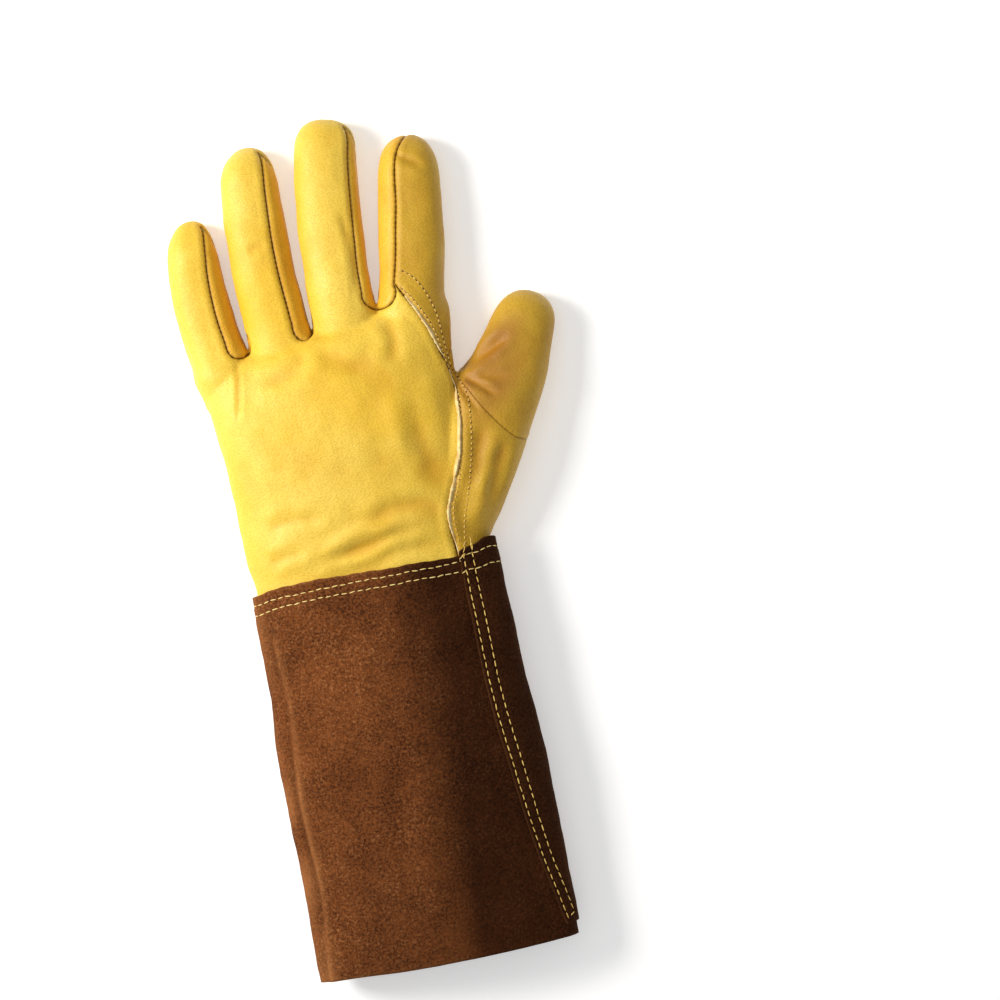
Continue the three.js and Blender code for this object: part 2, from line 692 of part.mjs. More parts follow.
// The thumb takes in the ball of the thumb on the palm, and stops at the root seam on the back.
const ballCurve = curveOf(BALL_SEAM, THUMB_STEPS);
const edgeCurve = curveOf(EDGE_SEAM, THUMB_STEPS);
const rootCurve = curveOf(ROOT_SEAM, THUMB_STEPS);
const thumbSide = THUMB_SIDE_HEIGHT * PALM_HEIGHT;
const beyond = [
  new THREE.Vector2(FAR, 0.38 * PALM_LENGTH),
  new THREE.Vector2(FAR, 1.1 * PALM_LENGTH),
  new THREE.Vector2(1.3 * HALF_PALM, 1.1 * PALM_LENGTH),
];
function thumbZone(overlap) {
  const palmSide = block([...ballCurve, ...edgeCurve.slice(1), ...beyond], -FAR, thumbSide + overlap);
  const backSide = block([...rootCurve, ...beyond], thumbSide - overlap, FAR);
  return palmSide.add(backSide);
}
const thumbSeams = together([
  ribbon(ballCurve, GAP, -FAR, thumbSide),
  ribbon(edgeCurve, GAP, -FAR, thumbSide + GAP),
  ribbon(rootCurve, GAP, thumbSide - GAP, FAR),
]);
const thumb = largest(shell.intersect(thumbZone(0.1 * GAP)).subtract(thumbSeams));

const palmPanel = largest(
  shell
    .subtract(backZone(-half))
    .subtract(allFronts)
    .subtract(allStrips)
    .subtract(thumbZone(GAP))
    .subtract(thumbSeams)
    .subtract(backRibbon(weltGap))
    .subtract(frontRibbon(weltGap)),
);

// The welts stand proud of the seams that they close.
const proud = handAndFingers(WELT_PROUD, WRIST_TUCK).subtract(inner);
const insideCuff = block(
  [
    new THREE.Vector2(-FAR, -FAR),
    new THREE.Vector2(FAR, -FAR),
    new THREE.Vector2(FAR, GAP),
    new THREE.Vector2(-FAR, GAP),
  ],
  -FAR,
  FAR,
);
const backWelt = largest(
  proud.intersect(backRibbon(WELT_WIDTH)).subtract(allStrips).subtract(thumbZone(GAP)).subtract(insideCuff),
);
const palmWelt = largest(proud.intersect(frontRibbon(WELT_WIDTH)).subtract(allStrips));

// The patch lies over the knuckle side of the palm and follows its curve.
const patchOutline = curveOf([...PATCH_OUTLINE, PATCH_OUTLINE[0]], PATCH_STEPS).slice(0, -1);
const patchZone = block(patchOutline, -FAR, THUMB_SIDE_HEIGHT * PALM_HEIGHT);
const knucklePatch = largest(
  handForm(GAP + PATCH_WALL, WRIST_TUCK).subtract(handAndFingers(GAP, WRIST_TUCK)).intersect(patchZone),
);

// The tab hangs from the palm over the inside of the wrist, with rounded lower corners.
const tabOutline = new THREE.Shape();
tabOutline.moveTo(-TAB_WIDTH / 2, TAB_RISE);
tabOutline.lineTo(-TAB_WIDTH / 2, TAB_CORNER - TAB_DROP);
tabOutline.quadraticCurveTo(-TAB_WIDTH / 2, -TAB_DROP, TAB_CORNER - TAB_WIDTH / 2, -TAB_DROP);
tabOutline.lineTo(TAB_WIDTH / 2 - TAB_CORNER, -TAB_DROP);
tabOutline.quadraticCurveTo(TAB_WIDTH / 2, -TAB_DROP, TAB_WIDTH / 2, TAB_CORNER - TAB_DROP);
tabOutline.lineTo(TAB_WIDTH / 2, TAB_RISE);
const wristTab = block(tabOutline.getPoints(CORNER_STEPS), 0, TAB_WALL);

// The cuff is one sheet wrapped round, with its two ends lapped on the thumb side of the back.
// The path runs from the outer end over the thumb side, under the cuff, up the other side and
// over the back, and then on under the outer end.
const turnsBetween = (from, to, steps) =>
  Array.from({ length: steps }, (_, i) => from + ((to - from) * i) / steps);
function cuffRow(at, sunk) {
  const where = cuffSection(at);
  const lapTurn = Math.acos(along(CUFF_SECTIONS, "lap", at) ** (FULLNESS / 2));
  const pointAt = (turn) => sectionPoint(where, turn, 0);
  let end = lapTurn;
  for (let run = 0; run < CUFF_LAP; end -= TURN_STEP) {
    run += pointAt(end).distanceTo(pointAt(end - TURN_STEP));
  }
  const fullTurn = 2 * Math.PI;
  const overBack = -0.75 * fullTurn;
  const turns = [
    ...turnsBetween(lapTurn, 0, CUFF_STEPS.lap),
    ...turnsBetween(0, overBack, CUFF_STEPS.round),
    ...turnsBetween(overBack, lapTurn - fullTurn, CUFF_STEPS.rise),
    ...turnsBetween(lapTurn - fullTurn, end - fullTurn, CUFF_STEPS.under),
    end - fullTurn,
  ];
  let run = 0;
  return turns.map((turn, i) => {
    const point = pointAt(turn);
    if (i > 0) run += point.distanceTo(pointAt(turns[i - 1]));
    const ahead = pointAt(turn - TURN_STEP).sub(pointAt(turn + TURN_STEP));
    const out = new THREE.Vector3(-ahead.z, 0, ahead.x).normalize();
    const down = THREE.MathUtils.smoothstep(run, LAP_BLEND.start * CUFF_LAP, LAP_BLEND.end * CUFF_LAP);
    const lift = LAP_STEP * (1 - down);
    return point.addScaledVector(out, lift - sunk);
  });
}
const CUFF_STATIONS = [0, 0.07, 0.16, 0.3, 0.45, 0.6, 0.75, 0.88, 1.0];

// A closed sheet between two grids of points.
function sheet(upper, lower) {
  const wide = upper[0].length;
  const count = upper.length * wide;
  const points = [...upper.flat(), ...lower.flat()];
  const faces = [];
  const quad = (a, b, c, d) => faces.push(a, c, b, a, d, c);
  for (let r = 0; r < upper.length - 1; r++) {
    for (let i = 0; i < wide - 1; i++) {
      const a = r * wide + i;
      quad(a, a + 1, a + wide + 1, a + wide);
      quad(count + a, count + a + wide, count + a + wide + 1, count + a + 1);
    }
    const [left, right] = [r * wide, r * wide + wide - 1];
    quad(left, left + wide, count + left + wide, count + left);
    quad(right, count + right, count + right + wide, right + wide);
  }
  const end = (upper.length - 1) * wide;
  for (let i = 0; i < wide - 1; i++) {
    quad(i, count + i, count + i + 1, i + 1);
    quad(end + i, end + i + 1, count + end + i + 1, count + end + i);
  }
  return solidOf(new THREE.BufferGeometry().setFromPoints(points).setIndex(faces));
}
const cuff = sheet(
  CUFF_STATIONS.map((at) => cuffRow(at, 0)),
  CUFF_STATIONS.map((at) => cuffRow(at, SUEDE_WALL)),
);

const goldenLeather = { color: 0xd2a83a, roughness: 0.55, metalness: 0 };
const brownSuede = { color: 0x5d3b23, roughness: 0.95, metalness: 0 };
const paleWelt = { color: 0xd9c9a0, roughness: 0.8, metalness: 0 };
const pieces = [
  { name: "back_panel", solid: backPanel, look: goldenLeather },
  { name: "palm_panel", solid: palmPanel, look: goldenLeather },
  { name: "thumb", solid: thumb, look: goldenLeather },
  ...fronts.map((front) => ({ ...front, look: goldenLeather })),
  ...gussets.map((gusset) => ({ ...gusset, look: goldenLeather })),
  { name: "back_welt", solid: backWelt, look: paleWelt },
  { name: "palm_welt", solid: palmWelt, look: paleWelt },
  { name: "knuckle_patch", solid: knucklePatch, look: brownSuede },
  { name: "wrist_tab", solid: wristTab, look: goldenLeather },
  { name: "cuff", solid: cuff, look: brownSuede },
];

const glove = new THREE.Group();
for (const { name, solid, look } of pieces) {
  const { vertProperties, triVerts } = solid.getMesh();
  const geometry = new THREE.BufferGeometry();
  geometry.setAttribute("position", new THREE.BufferAttribute(new Float32Array(vertProperties), 3));
  geometry.setIndex(new THREE.BufferAttribute(new Uint32Array(triVerts), 1));
  const mesh = new THREE.Mesh(geometry, new THREE.MeshStandardMaterial(look));
  mesh.name = name;
  glove.add(mesh);
}

// The glove stands with the middle of its outline over the origin.
const box = new THREE.Box3().setFromObject(glove);
const centre = box.getCenter(new THREE.Vector3());
glove.position.set(-centre.x, -centre.y, -box.min.z);
export default glove;
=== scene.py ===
import math

import bmesh
import bpy
import numpy as np
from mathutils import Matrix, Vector
from mathutils.bvhtree import BVHTree


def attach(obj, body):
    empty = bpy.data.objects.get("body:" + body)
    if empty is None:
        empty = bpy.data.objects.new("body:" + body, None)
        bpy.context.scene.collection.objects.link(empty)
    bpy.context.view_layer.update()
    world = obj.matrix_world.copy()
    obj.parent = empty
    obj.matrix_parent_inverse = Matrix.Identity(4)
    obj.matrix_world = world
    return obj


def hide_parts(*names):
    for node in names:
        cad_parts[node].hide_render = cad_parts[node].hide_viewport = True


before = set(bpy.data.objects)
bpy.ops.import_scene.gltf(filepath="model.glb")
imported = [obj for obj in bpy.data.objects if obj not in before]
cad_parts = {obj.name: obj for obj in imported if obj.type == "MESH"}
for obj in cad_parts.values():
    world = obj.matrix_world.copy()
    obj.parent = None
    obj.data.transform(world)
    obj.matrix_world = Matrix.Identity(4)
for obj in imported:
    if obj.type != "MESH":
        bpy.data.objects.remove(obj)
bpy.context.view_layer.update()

# The hand of the glove: golden grain leather cut in panels, sewn inside out and turned.
# It is stuffed, so every form is full and round above and flat where it rests.
# Millimetres from the wrist line, fingers along +Y and the thumb towards +X.
def rows_of(columns, *rows):
    """A table's rows, each under the names of its columns."""
    return [dict(zip(columns.split(), row)) for row in rows]


WRIST_IN_FRAME = np.array([-20.13, -15.24, 0.0])
GRAIN_WALL = 1.3
PALM_LENGTH = 118
HALF_PALM = 59
PALM_HEIGHT = 38
CROTCH_SLOPE = 0.11
PALM_FLOOR = 1.6
WRIST_FLOOR = 3.4
WRIST_HALF = 56.7
WRIST_TOP = 33.2
CROTCH_RISE = 3
FULLNESS = 2.25
FLATTENING = 0.3
HAND_SECTIONS = rows_of(
    "at left right top",
    (0.0, 0.985, 0.95, 0.9), (0.14, 0.985, 0.96, 0.94), (0.36, 0.98, 0.96, 0.99),
    (0.6, 1.0, 0.965, 1.02), (0.78, 1.025, 0.98, 0.98), (0.9, 1.06, 1.02, 0.9),
    (0.96, 1.09, 1.03, 0.79), (1.0, 1.08, 1.02, 0.6),
)
FINGER_HEIGHT = 23
FINGER_PARTING = 1.45
FINGER_SWELL = 0.7
FINGER_TAPER = 1.6
ROOT_OVERLAP = 0.6
ROOT_REACH = 0.28
ROOT_SINK = 4
FINGERS = dict(zip(("little", "ring", "middle", "index"), rows_of(
    "x y length width tip dome square lean bow hook",
    (-51.75, 112.3, 71.6, 29, 0.74, 0.6, 2.0, -0.02, -0.05, 1.6),
    (-21.5, 115.6, 97.6, 31.5, 0.82, 0.62, 2.05, 0.01, -0.025, 1.8),
    (10.5, 119.2, 99.6, 32.5, 0.9, 0.5, 2.6, 0.09, -0.026, 1.2),
    (43.5, 122.8, 81.6, 33.5, 0.82, 0.6, 2.3, 0.165, 0.006, 0.3),
)))
FINGER_TOPS = rows_of(
    "at top",
    (-0.28, 1.05), (-0.08, 1.24), (0.0, 1.2), (0.15, 1.1), (0.4, 1.0), (0.75, 0.92), (1.0, 0.86),
)
THUMB_LENGTH = 101
THUMB_WIDTH = 46
THUMB_HEIGHT = 30
THUMB_TURN = math.radians(29)
THUMB_ROOT_X = 0.8 * HALF_PALM
THUMB_ROOT_Y = 0.28 * PALM_LENGTH
THUMB_REACH = 0.22
THUMB_DOME_START = 1 - 0.36 * THUMB_WIDTH / THUMB_LENGTH
THUMB_SQUARE = 2.35
THUMB_SECTIONS = rows_of(
    "at side width top",
    (-0.22, 0.0, 0.94, 0.96), (0.0, 0.0, 1.03, 1.02), (0.2, 0.01, 1.06, 1.04),
    (0.36, 0.04, 1.03, 1.02), (0.52, 0.096, 0.91, 0.94), (0.62, 0.138, 0.8, 0.88),
    (0.75, 0.148, 0.73, 0.8), (0.88, 0.156, 0.65, 0.72), (1.0, 0.15, 0.6, 0.66),
)


def smooth(value, low, high):
    """A soft step from 0 to 1 between two values."""
    share = np.clip((np.asarray(value, float) - low) / (high - low), 0, 1)
    return share * share * (3 - 2 * share)


def along(table, column, at):
    """A table's column at any place, on a smooth curve through its rows."""
    stops = np.array([row["at"] for row in table], float)
    values = np.array([row[column] for row in table], float)
    last = len(stops) - 1
    before = np.maximum(np.arange(last + 1) - 1, 0)
    after = np.minimum(np.arange(last + 1) + 1, last)
    slopes = (values[after] - values[before]) / (stops[after] - stops[before])
    at = np.clip(at, stops[0], stops[-1])
    i = np.clip(np.searchsorted(stops, at, side="right") - 1, 0, last - 1)
    step = stops[i + 1] - stops[i]
    t = (at - stops[i]) / step
    start = (2 * t**3 - 3 * t**2 + 1) * values[i] + (t**3 - 2 * t**2 + t) * slopes[i] * step
    return start + (3 * t**2 - 2 * t**3) * values[i + 1] + (t**3 - t**2) * slopes[i + 1] * step


def ring_of(where, turn):
    """Points of one cross-section, full above and flattened below, at the given turns."""
    c, s = np.cos(turn), np.sin(turn)
    tall = (where["top"] - where["floor"]) / 2
    across = where["half"] * np.sign(c) * np.abs(c) ** (2 / FULLNESS)
    rise = tall * np.sign(s) * np.abs(s) ** (2 / FULLNESS)
    rise = np.maximum(np.where(s < 0, rise * (1 + FLATTENING), rise), -tall)
    heading, skew = where.get("heading", 0.0), where.get("skew", 0.0)
    x = where["x"] + across * np.cos(heading)
    y = where["y"] - across * (np.sin(heading) - skew)
    return np.stack([x, y, (where["floor"] + where["top"]) / 2 + rise], axis=-1)


DOME_BELOW = 0.7
DOME_ABOVE = 1.3
HEADING_STEP = 0.01


def dome_over(where, at, start, square):
    """Closes a tube with a round end from the share of its length where the end starts."""
    over = np.clip((at - start) / (1 - start), 0, 1)
    dome = (1 - over**square) ** (1 / square)
    lowered = (where["top"] - where["floor"]) * (1 - dome) * 0.5
    where["half"] = where["half"] * dome
    where["floor"] = where["floor"] + lowered * DOME_BELOW
    where["top"] = where["top"] - lowered * DOME_ABOVE
    return where


def dome_start(finger):
    return 1 - finger["dome"] * finger["width"] / finger["length"]


def finger_section(finger, at):
    """A finger's cross-section at a share of its length, under 0 where the palm hides it."""
    def middle(t):
        past = np.maximum(t, 0)
        bow = finger["bow"] * finger["length"] * 4 * past * (1 - past)
        hook = finger["hook"] * smooth(t, 0.8, 1.02)
        return finger["x"] + finger["lean"] * finger["length"] * t + bow + hook

    ahead = middle(at + HEADING_STEP) - middle(at)
    buried = smooth(-at, 0, ROOT_REACH)
    parted = FINGER_PARTING * smooth(at, -0.1, 0.05) - FINGER_SWELL * smooth(at, 0.1, 0.5)
    taper = 1 - (1 - finger["tip"]) * np.maximum(at, 0) ** FINGER_TAPER
    where = {
        "x": middle(at),
        "y": finger["y"] + finger["length"] * at,
        "heading": np.arctan2(ahead, HEADING_STEP * finger["length"]),
        "half": (finger["width"] / 2 + ROOT_OVERLAP - parted - ROOT_SINK * buried) * taper,
        "floor": PALM_FLOOR * (1 - smooth(at, -0.05, 0.2)) + ROOT_SINK * buried,
        "top": FINGER_HEIGHT * along(FINGER_TOPS, "top", at),
    }
    return dome_over(where, at, dome_start(finger), finger["square"])


def thumb_section(at):
    sine, cosine = math.sin(THUMB_TURN), math.cos(THUMB_TURN)
    run = THUMB_LENGTH * at
    side = THUMB_WIDTH * along(THUMB_SECTIONS, "side", at)
    where = {
        "x": THUMB_ROOT_X + run * sine + side * cosine,
        "y": THUMB_ROOT_Y + run * cosine - side * sine,
        "heading": THUMB_TURN,
        "half": THUMB_WIDTH / 2 * along(THUMB_SECTIONS, "width", at),
        "floor": PALM_FLOOR * (1 - smooth(at, 0.3, 0.6)),
        "top": THUMB_HEIGHT * along(THUMB_SECTIONS, "top", at),
    }
    return dome_over(where, at, THUMB_DOME_START, THUMB_SQUARE)


def hand_section(at):
    left = HALF_PALM * along(HAND_SECTIONS, "left", at)
    right = HALF_PALM * along(HAND_SECTIONS, "right", at)
    x = (right - left) / 2
    tuck = 1 - smooth(at, 0.02, 0.14)
    rise = (WRIST_FLOOR - PALM_FLOOR) * tuck
    return {
        "x": x * (1 - tuck),
        "y": PALM_LENGTH * at + CROTCH_SLOPE * x * np.maximum(at, 0),
        "skew": CROTCH_SLOPE * np.maximum(at, 0) ** 2,
        "half": (left + right) / 2 * (1 - tuck) + WRIST_HALF * tuck,
        "floor": PALM_FLOOR + rise + smooth(at, 0.95, 1) * CROTCH_RISE,
        "top": PALM_HEIGHT * along(HAND_SECTIONS, "top", at) * (1 - tuck) + WRIST_TOP * tuck,
    }


def tube(section_at, stations, sides=72):
    """A closed tube through cross-sections, as points and faces."""
    turns = -2 * np.pi * np.arange(sides) / sides
    rings = np.array([ring_of(section_at(at), turns) for at in stations])
    points = [*rings.reshape(-1, 3), rings[0].mean(axis=0), rings[-1].mean(axis=0)]
    faces = []
    for r in range(0, (len(stations) - 1) * sides, sides):
        for i in range(sides):
            j = (i + 1) % sides
            faces.append((r + i, r + j, r + sides + j, r + sides + i))
    end = (len(stations) - 1) * sides
    for i in range(sides):
        j = (i + 1) % sides
        faces.append((len(points) - 2, j, i))
        faces.append((len(points) - 1, end + i, end + j))
    return points, faces


def domed(first, start, count):
    """Stations along a tube, close together over its round end."""
    rounding = np.sin(np.linspace(0, np.pi / 2, 15))[1:-1]
    return [*np.linspace(first, start, count), *(start + (1 - start) * rounding), 0.9995]


tubes = [tube(hand_section, [-0.16, -0.1, -0.04, *np.linspace(0, 1, 40)], 120)]
for finger in FINGERS.values():
    tubes.append(tube(lambda at, finger=finger: finger_section(finger, at),
                      domed(-ROOT_REACH, dome_start(finger), 30)))
tubes.append(tube(thumb_section, domed(-THUMB_REACH, THUMB_DOME_START, 34)))

# The stuffed forms are joined into one skin of leather, which is evened out and then cut along
# the seams into the panels that the real glove is sewn from.
SKIN_STEP = 1.0
EVENING_ROUNDS = 6
SNAP_SHARE = 0.24


def plain_mesh(name, points, faces):
    mesh = bpy.data.meshes.new(name)
    mesh.from_pydata([tuple(p) for p in points], [], [tuple(f) for f in faces])
    mesh.update()
    return mesh


def placed(name, data):
    """An object in the scene that holds a mesh, a curve, a lamp or a lens."""
    item = bpy.data.objects.new(name, data)
    bpy.context.scene.collection.objects.link(item)
    return item


def edges_of(faces):
    """The mesh's edges, and the three edges of each triangle."""
    pairs = np.sort(np.concatenate([faces[:, [0, 1]], faces[:, [1, 2]], faces[:, [2, 0]]]), axis=1)
    count = int(faces.max()) + 1
    keys, which = np.unique(pairs[:, 0].astype(np.int64) * count + pairs[:, 1], return_inverse=True)
    return np.stack([keys // count, keys % count], axis=1), which.reshape(3, -1).T


def evened(points, edges, rounds):
    """Moves each point halfway to the middle of its neighbours."""
    count = np.bincount(edges.ravel(), minlength=len(points)).astype(float)
    for _ in range(rounds):
        total = np.stack([
            np.bincount(edges[:, 0], points[edges[:, 1], k], len(points))
            + np.bincount(edges[:, 1], points[edges[:, 0], k], len(points))
            for k in range(3)
        ], axis=1)
        points = points + 0.5 * (total / count[:, None] - points)
    return points


def normals_of(points, faces):
    a, b, c = (points[faces[:, k]] for k in range(3))
    flat = np.cross(b - a, c - a)
    summed = np.stack([
        sum(np.bincount(faces[:, j], flat[:, k], len(points)) for j in range(3)) for k in range(3)
    ], axis=1)
    return summed / np.maximum(np.linalg.norm(summed, axis=1), 1e-12)[:, None]


def joined_skin():
    points, faces = [], []
    for tube_points, tube_faces in tubes:
        faces += [[i + len(points) for i in face] for face in tube_faces]
        points += list(tube_points)
    form = placed("hand_form", plain_mesh("hand_form", points, faces))
    remesh = form.modifiers.new("one_skin", "REMESH")
    remesh.mode = "VOXEL"
    remesh.voxel_size = SKIN_STEP
    whole = form.evaluated_get(bpy.context.evaluated_depsgraph_get()).to_mesh()
    whole.calc_loop_triangles()
    points = np.empty(len(whole.vertices) * 3)
    whole.vertices.foreach_get("co", points)
    faces = np.empty(len(whole.loop_triangles) * 3, dtype=np.int64)
    whole.loop_triangles.foreach_get("vertices", faces)
    bpy.data.objects.remove(form)
    return points.reshape(-1, 3), faces.reshape(-1, 3)


skin, skin_faces = joined_skin()
skin = evened(skin, edges_of(skin_faces)[0], EVENING_ROUNDS)


def split(faces, sides, chosen, first):
    """Splits triangles at the chosen edges, whose new points are numbered from first.
    Says too which triangle each new one came from."""
    middle = np.full(len(chosen), -1)
    middle[chosen] = first + np.arange(chosen.sum())
    cut = middle[sides]
    count = (cut >= 0).sum(axis=1)
    pieces, origin = [faces[count == 0]], [np.flatnonzero(count == 0)]

    def keep(mask, *corners):
        pieces.append(np.stack(corners, axis=1)[mask])
        origin.append(np.flatnonzero(mask))

    for turn in range(3):
        i, j, k = (faces[:, (turn + n) % 3] for n in range(3))
        ij, ki = cut[:, turn], cut[:, (turn + 2) % 3]
        one = (count == 1) & (ij >= 0)
        keep(one, i, ij, k)
        keep(one, ij, j, k)
        two = (count == 2) & (ij >= 0) & (ki >= 0)
        keep(two, i, ij, ki)
        keep(two, ij, j, k)
        keep(two, ij, k, ki)
        keep(count == 3, i, ij, ki)
    keep(count == 3, *cut.T)
    return np.concatenate(pieces), np.concatenate(origin)


def cut_along(points, faces, field):
    """Splits triangles where the field crosses zero, so that a clean seam line runs there."""
    value = field(points)
    edges, sides = edges_of(faces)
    a, b = edges.T
    crossing = value[a] * value[b] < 0
    share = np.where(crossing, value[a] / np.where(crossing, value[a] - value[b], 1), 0.5)
    closeness = np.minimum(share, 1 - share)
    moved = points.copy()
    snapped = np.flatnonzero(crossing & (closeness < SNAP_SHARE))
    snapped = snapped[np.argsort(-closeness[snapped])]
    nearer = np.where(share[snapped] < 0.5, a[snapped], b[snapped])
    t = share[snapped][:, None]
    moved[nearer] = points[a[snapped]] * (1 - t) + points[b[snapped]] * t
    value[nearer] = 0
    crossing = value[a] * value[b] < 0
    share = (value[a][crossing] / (value[a][crossing] - value[b][crossing]))[:, None]
    added = moved[a[crossing]] * (1 - share) + moved[b[crossing]] * share
    return np.concatenate([moved, added]), split(faces, sides, crossing, len(points))[0]


# The seams. at: share of the finger's length. top, bottom: degrees above its middle height.
LEG_SEAMS = {
    "littleRight": rows_of(
        "at top bottom", (0.08, 60, -34), (0.12, 60, -24), (0.45, 57, -18), (0.8, 50, -8),
        (0.96, 44, 38),
    ),
    "ringLeft": rows_of(
        "at top bottom", (0.03, 8, -42), (0.1, 2, -44), (0.5, -6, -46), (0.8, -8.5, -34),
        (0.95, -9, -13),
    ),
    "ringRight": rows_of(
        "at top bottom", (0.055, 52, -34), (0.1, 54, -26), (0.5, 52, -18), (0.85, 46, -8),
        (0.97, 40, 35),
    ),
    "middleLeft": rows_of(
        "at top bottom", (0.02, 8, -42), (0.1, 2, -44), (0.5, -4, -46), (0.8, -8, -34),
        (0.95, -9, -12),
    ),
    "middleRight": rows_of(
        "at top bottom", (0.09, 40, -36), (0.14, 42, -34), (0.4, 37, -28), (0.8, 32, -16),
        (0.97, 28, 23),
    ),
    "indexLeft": rows_of(
        "at top bottom", (0.06, 50, -34), (0.12, 53, -26), (0.5, 57, -18), (0.8, 56, -14),
        (0.93, 60, -10), (1.02, 72, 0),
    ),
}
# Side strips between the fingers. x, y: middle of the fold at the crotch. wide, long: its half
# sizes. FOLD_FLOOR: the fold is only above this height.
STRIPS = dict(zip(("gusset_little_ring", "gusset_ring_middle", "gusset_middle_index"), rows_of(
    "left right x y wide long",
    (("little", "littleRight"), ("ring", "ringLeft"), -41.4, 120.4, 5.4, 7.0),
    (("ring", "ringRight"), ("middle", "middleLeft"), -9.7, 122.6, 4.4, 6.8),
    (("middle", "middleRight"), ("index", "indexLeft"), 29.2, 130.8, 8.2, 7.4),
)))
FOLD_FLOOR = 9
# Seams in plan: shares of half the palm's width and of its length.
BACK_SEAM = [
    (0.58, 1.18), (0.668, 1.1), (0.81, 0.963), (0.885, 0.84), (0.935, 0.745), (0.95, 0.64),
    (0.93, 0.52), (0.872, 0.4), (0.775, 0.28), (0.705, 0.2), (0.69, 0.12), (0.705, 0.03),
    (0.705, -0.2),
]
FRONT_SEAM = [(-0.76, 1.0), (-0.63, 0.955), (-0.36, 0.925), (-0.1, 0.93), (0.18, 0.935),
              (0.42, 0.97), (0.53, 1.03)]
BALL_SEAM = [(1.02, 0.79), (0.96, 0.72), (0.91, 0.64), (0.88, 0.5), (0.87, 0.3), (0.84, 0.1)]
OUTER_SEAM = [(1.3, 0.46), (1.42, 0.415), (1.75, 0.38)]
EDGE_SEAM = [(0.84, 0.1), (1.12, 0.28), (1.3, 0.37), *OUTER_SEAM[1:]]
ROOT_SEAM = [(0.93, 0.79), (0.99, 0.71), (1.13, 0.58), *OUTER_SEAM]
# How high the seam runs round the side of the hand. at: share of the palm's length.
SIDE_SEAM = rows_of(
    "at z",
    (-0.25, 0.5), (0.55, 0.48), (0.85, 0.4), (1.05, 0.33), (1.4, 0.29), (1.58, 0.2), (2.2, 0.2),
)
THUMB_SIDE = 0.37 * PALM_HEIGHT
SIDE_BLEND = 3
FRONT_LEAN = 3
FRONT_TOP = 9
SEAM_OVERLAP = 0.5


def curve_of(seam, steps=48):
    """A seam's table as points in plan, on a smooth curve."""
    knots = np.array(seam, float) * (HALF_PALM, PALM_LENGTH)
    padded = np.concatenate([knots[:1], knots, knots[-1:]])
    place = np.linspace(0, len(knots) - 1, steps + 1)
    i = np.minimum(place.astype(int), len(knots) - 2)
    t = (place - i)[:, None]
    p0, p1, p2, p3 = (padded[i + n] for n in range(4))
    a, b = (p2 - p0) / 2, (p3 - p1) / 2
    return (2 * p1 - 2 * p2 + a + b) * t**3 + (-3 * p1 + 3 * p2 - 2 * a - b) * t**2 + a * t + p1


def nearest_on(path, plan):
    """Distance from points in plan to a path, and the share of the path's length passed there."""
    lengths = np.linalg.norm(np.diff(path, axis=0), axis=1)
    passed = np.concatenate([[0], np.cumsum(lengths)])
    best = np.full(len(plan), np.inf)
    share = np.zeros(len(plan))
    for k in range(len(path) - 1):
        step = path[k + 1] - path[k]
        t = np.clip(((plan - path[k]) @ step) / max(step @ step, 1e-9), 0, 1)
        gap = np.linalg.norm(plan - path[k] - t[:, None] * step, axis=1)
        closer = gap < best
        best[closer] = gap[closer]
        share[closer] = (passed[k] + t[closer] * lengths[k]) / passed[-1]
    return best, share


def inside(outline, plan):
    """Distance to a closed outline in plan, positive inside it."""
    closed = np.concatenate([outline, outline[:1]])
    odd = np.zeros(len(plan), bool)
    for (x0, y0), (x1, y1) in zip(closed[:-1], closed[1:]):
        spans = (y0 > plan[:, 1]) != (y1 > plan[:, 1])
        if abs(y1 - y0) > 1e-9:
            odd ^= spans & (plan[:, 0] < x0 + (plan[:, 1] - y0) * (x1 - x0) / (y1 - y0))
    return np.where(odd, 1, -1) * nearest_on(closed, plan)[0]


def along_finger(finger, points):
    """Where points lie on a finger: share of its length, across, above its middle, its section."""
    at = (points[:, 1] - finger["y"]) / finger["length"]
    for _ in range(3):
        where = finger_section(finger, np.minimum(at, 0.999))
        dx, dy = points[:, 0] - where["x"], points[:, 1] - where["y"]
        sine, cosine = np.sin(where["heading"]), np.cos(where["heading"])
        across = dx * cosine - dy * sine
        at = at + np.where(at < 0.999, dx * sine + dy * cosine, 0) / finger["length"]
    return at, across, points[:, 2] - (where["floor"] + where["top"]) / 2, where


def leg_field(finger, seams, side, points):
    at, across, up, _ = along_finger(finger, points)
    top = np.radians(along(seams, "top", at))
    bottom = np.radians(along(seams, "bottom", at))
    reach, turn = np.hypot(across, up), np.arctan2(up, side * across)
    wedge = np.minimum(reach * np.sin(top - turn), reach * np.sin(turn - bottom))
    ends = np.minimum(at - seams[0]["at"], seams[-1]["at"] - at) * finger["length"]
    own = finger["width"] / 2 + ROOT_OVERLAP - np.abs(across)
    return np.minimum(np.minimum(wedge, ends), own)


def strip_field(strip, points):
    legs = [leg_field(FINGERS[strip[key][0]], LEG_SEAMS[strip[key][1]], side, points)
            for key, side in (("left", 1), ("right", -1))]
    east, north = points[:, 0] - strip["x"], points[:, 1] - strip["y"]
    far = np.hypot(east / strip["wide"], north / strip["long"])
    fold = np.minimum((1 - far) * strip["wide"], points[:, 2] - FOLD_FLOOR)
    return np.maximum(np.maximum(*legs), fold)


front_arc = curve_of(FRONT_SEAM)
MIDDLE_X, MIDDLE_LEAN = -5.75, 0.055


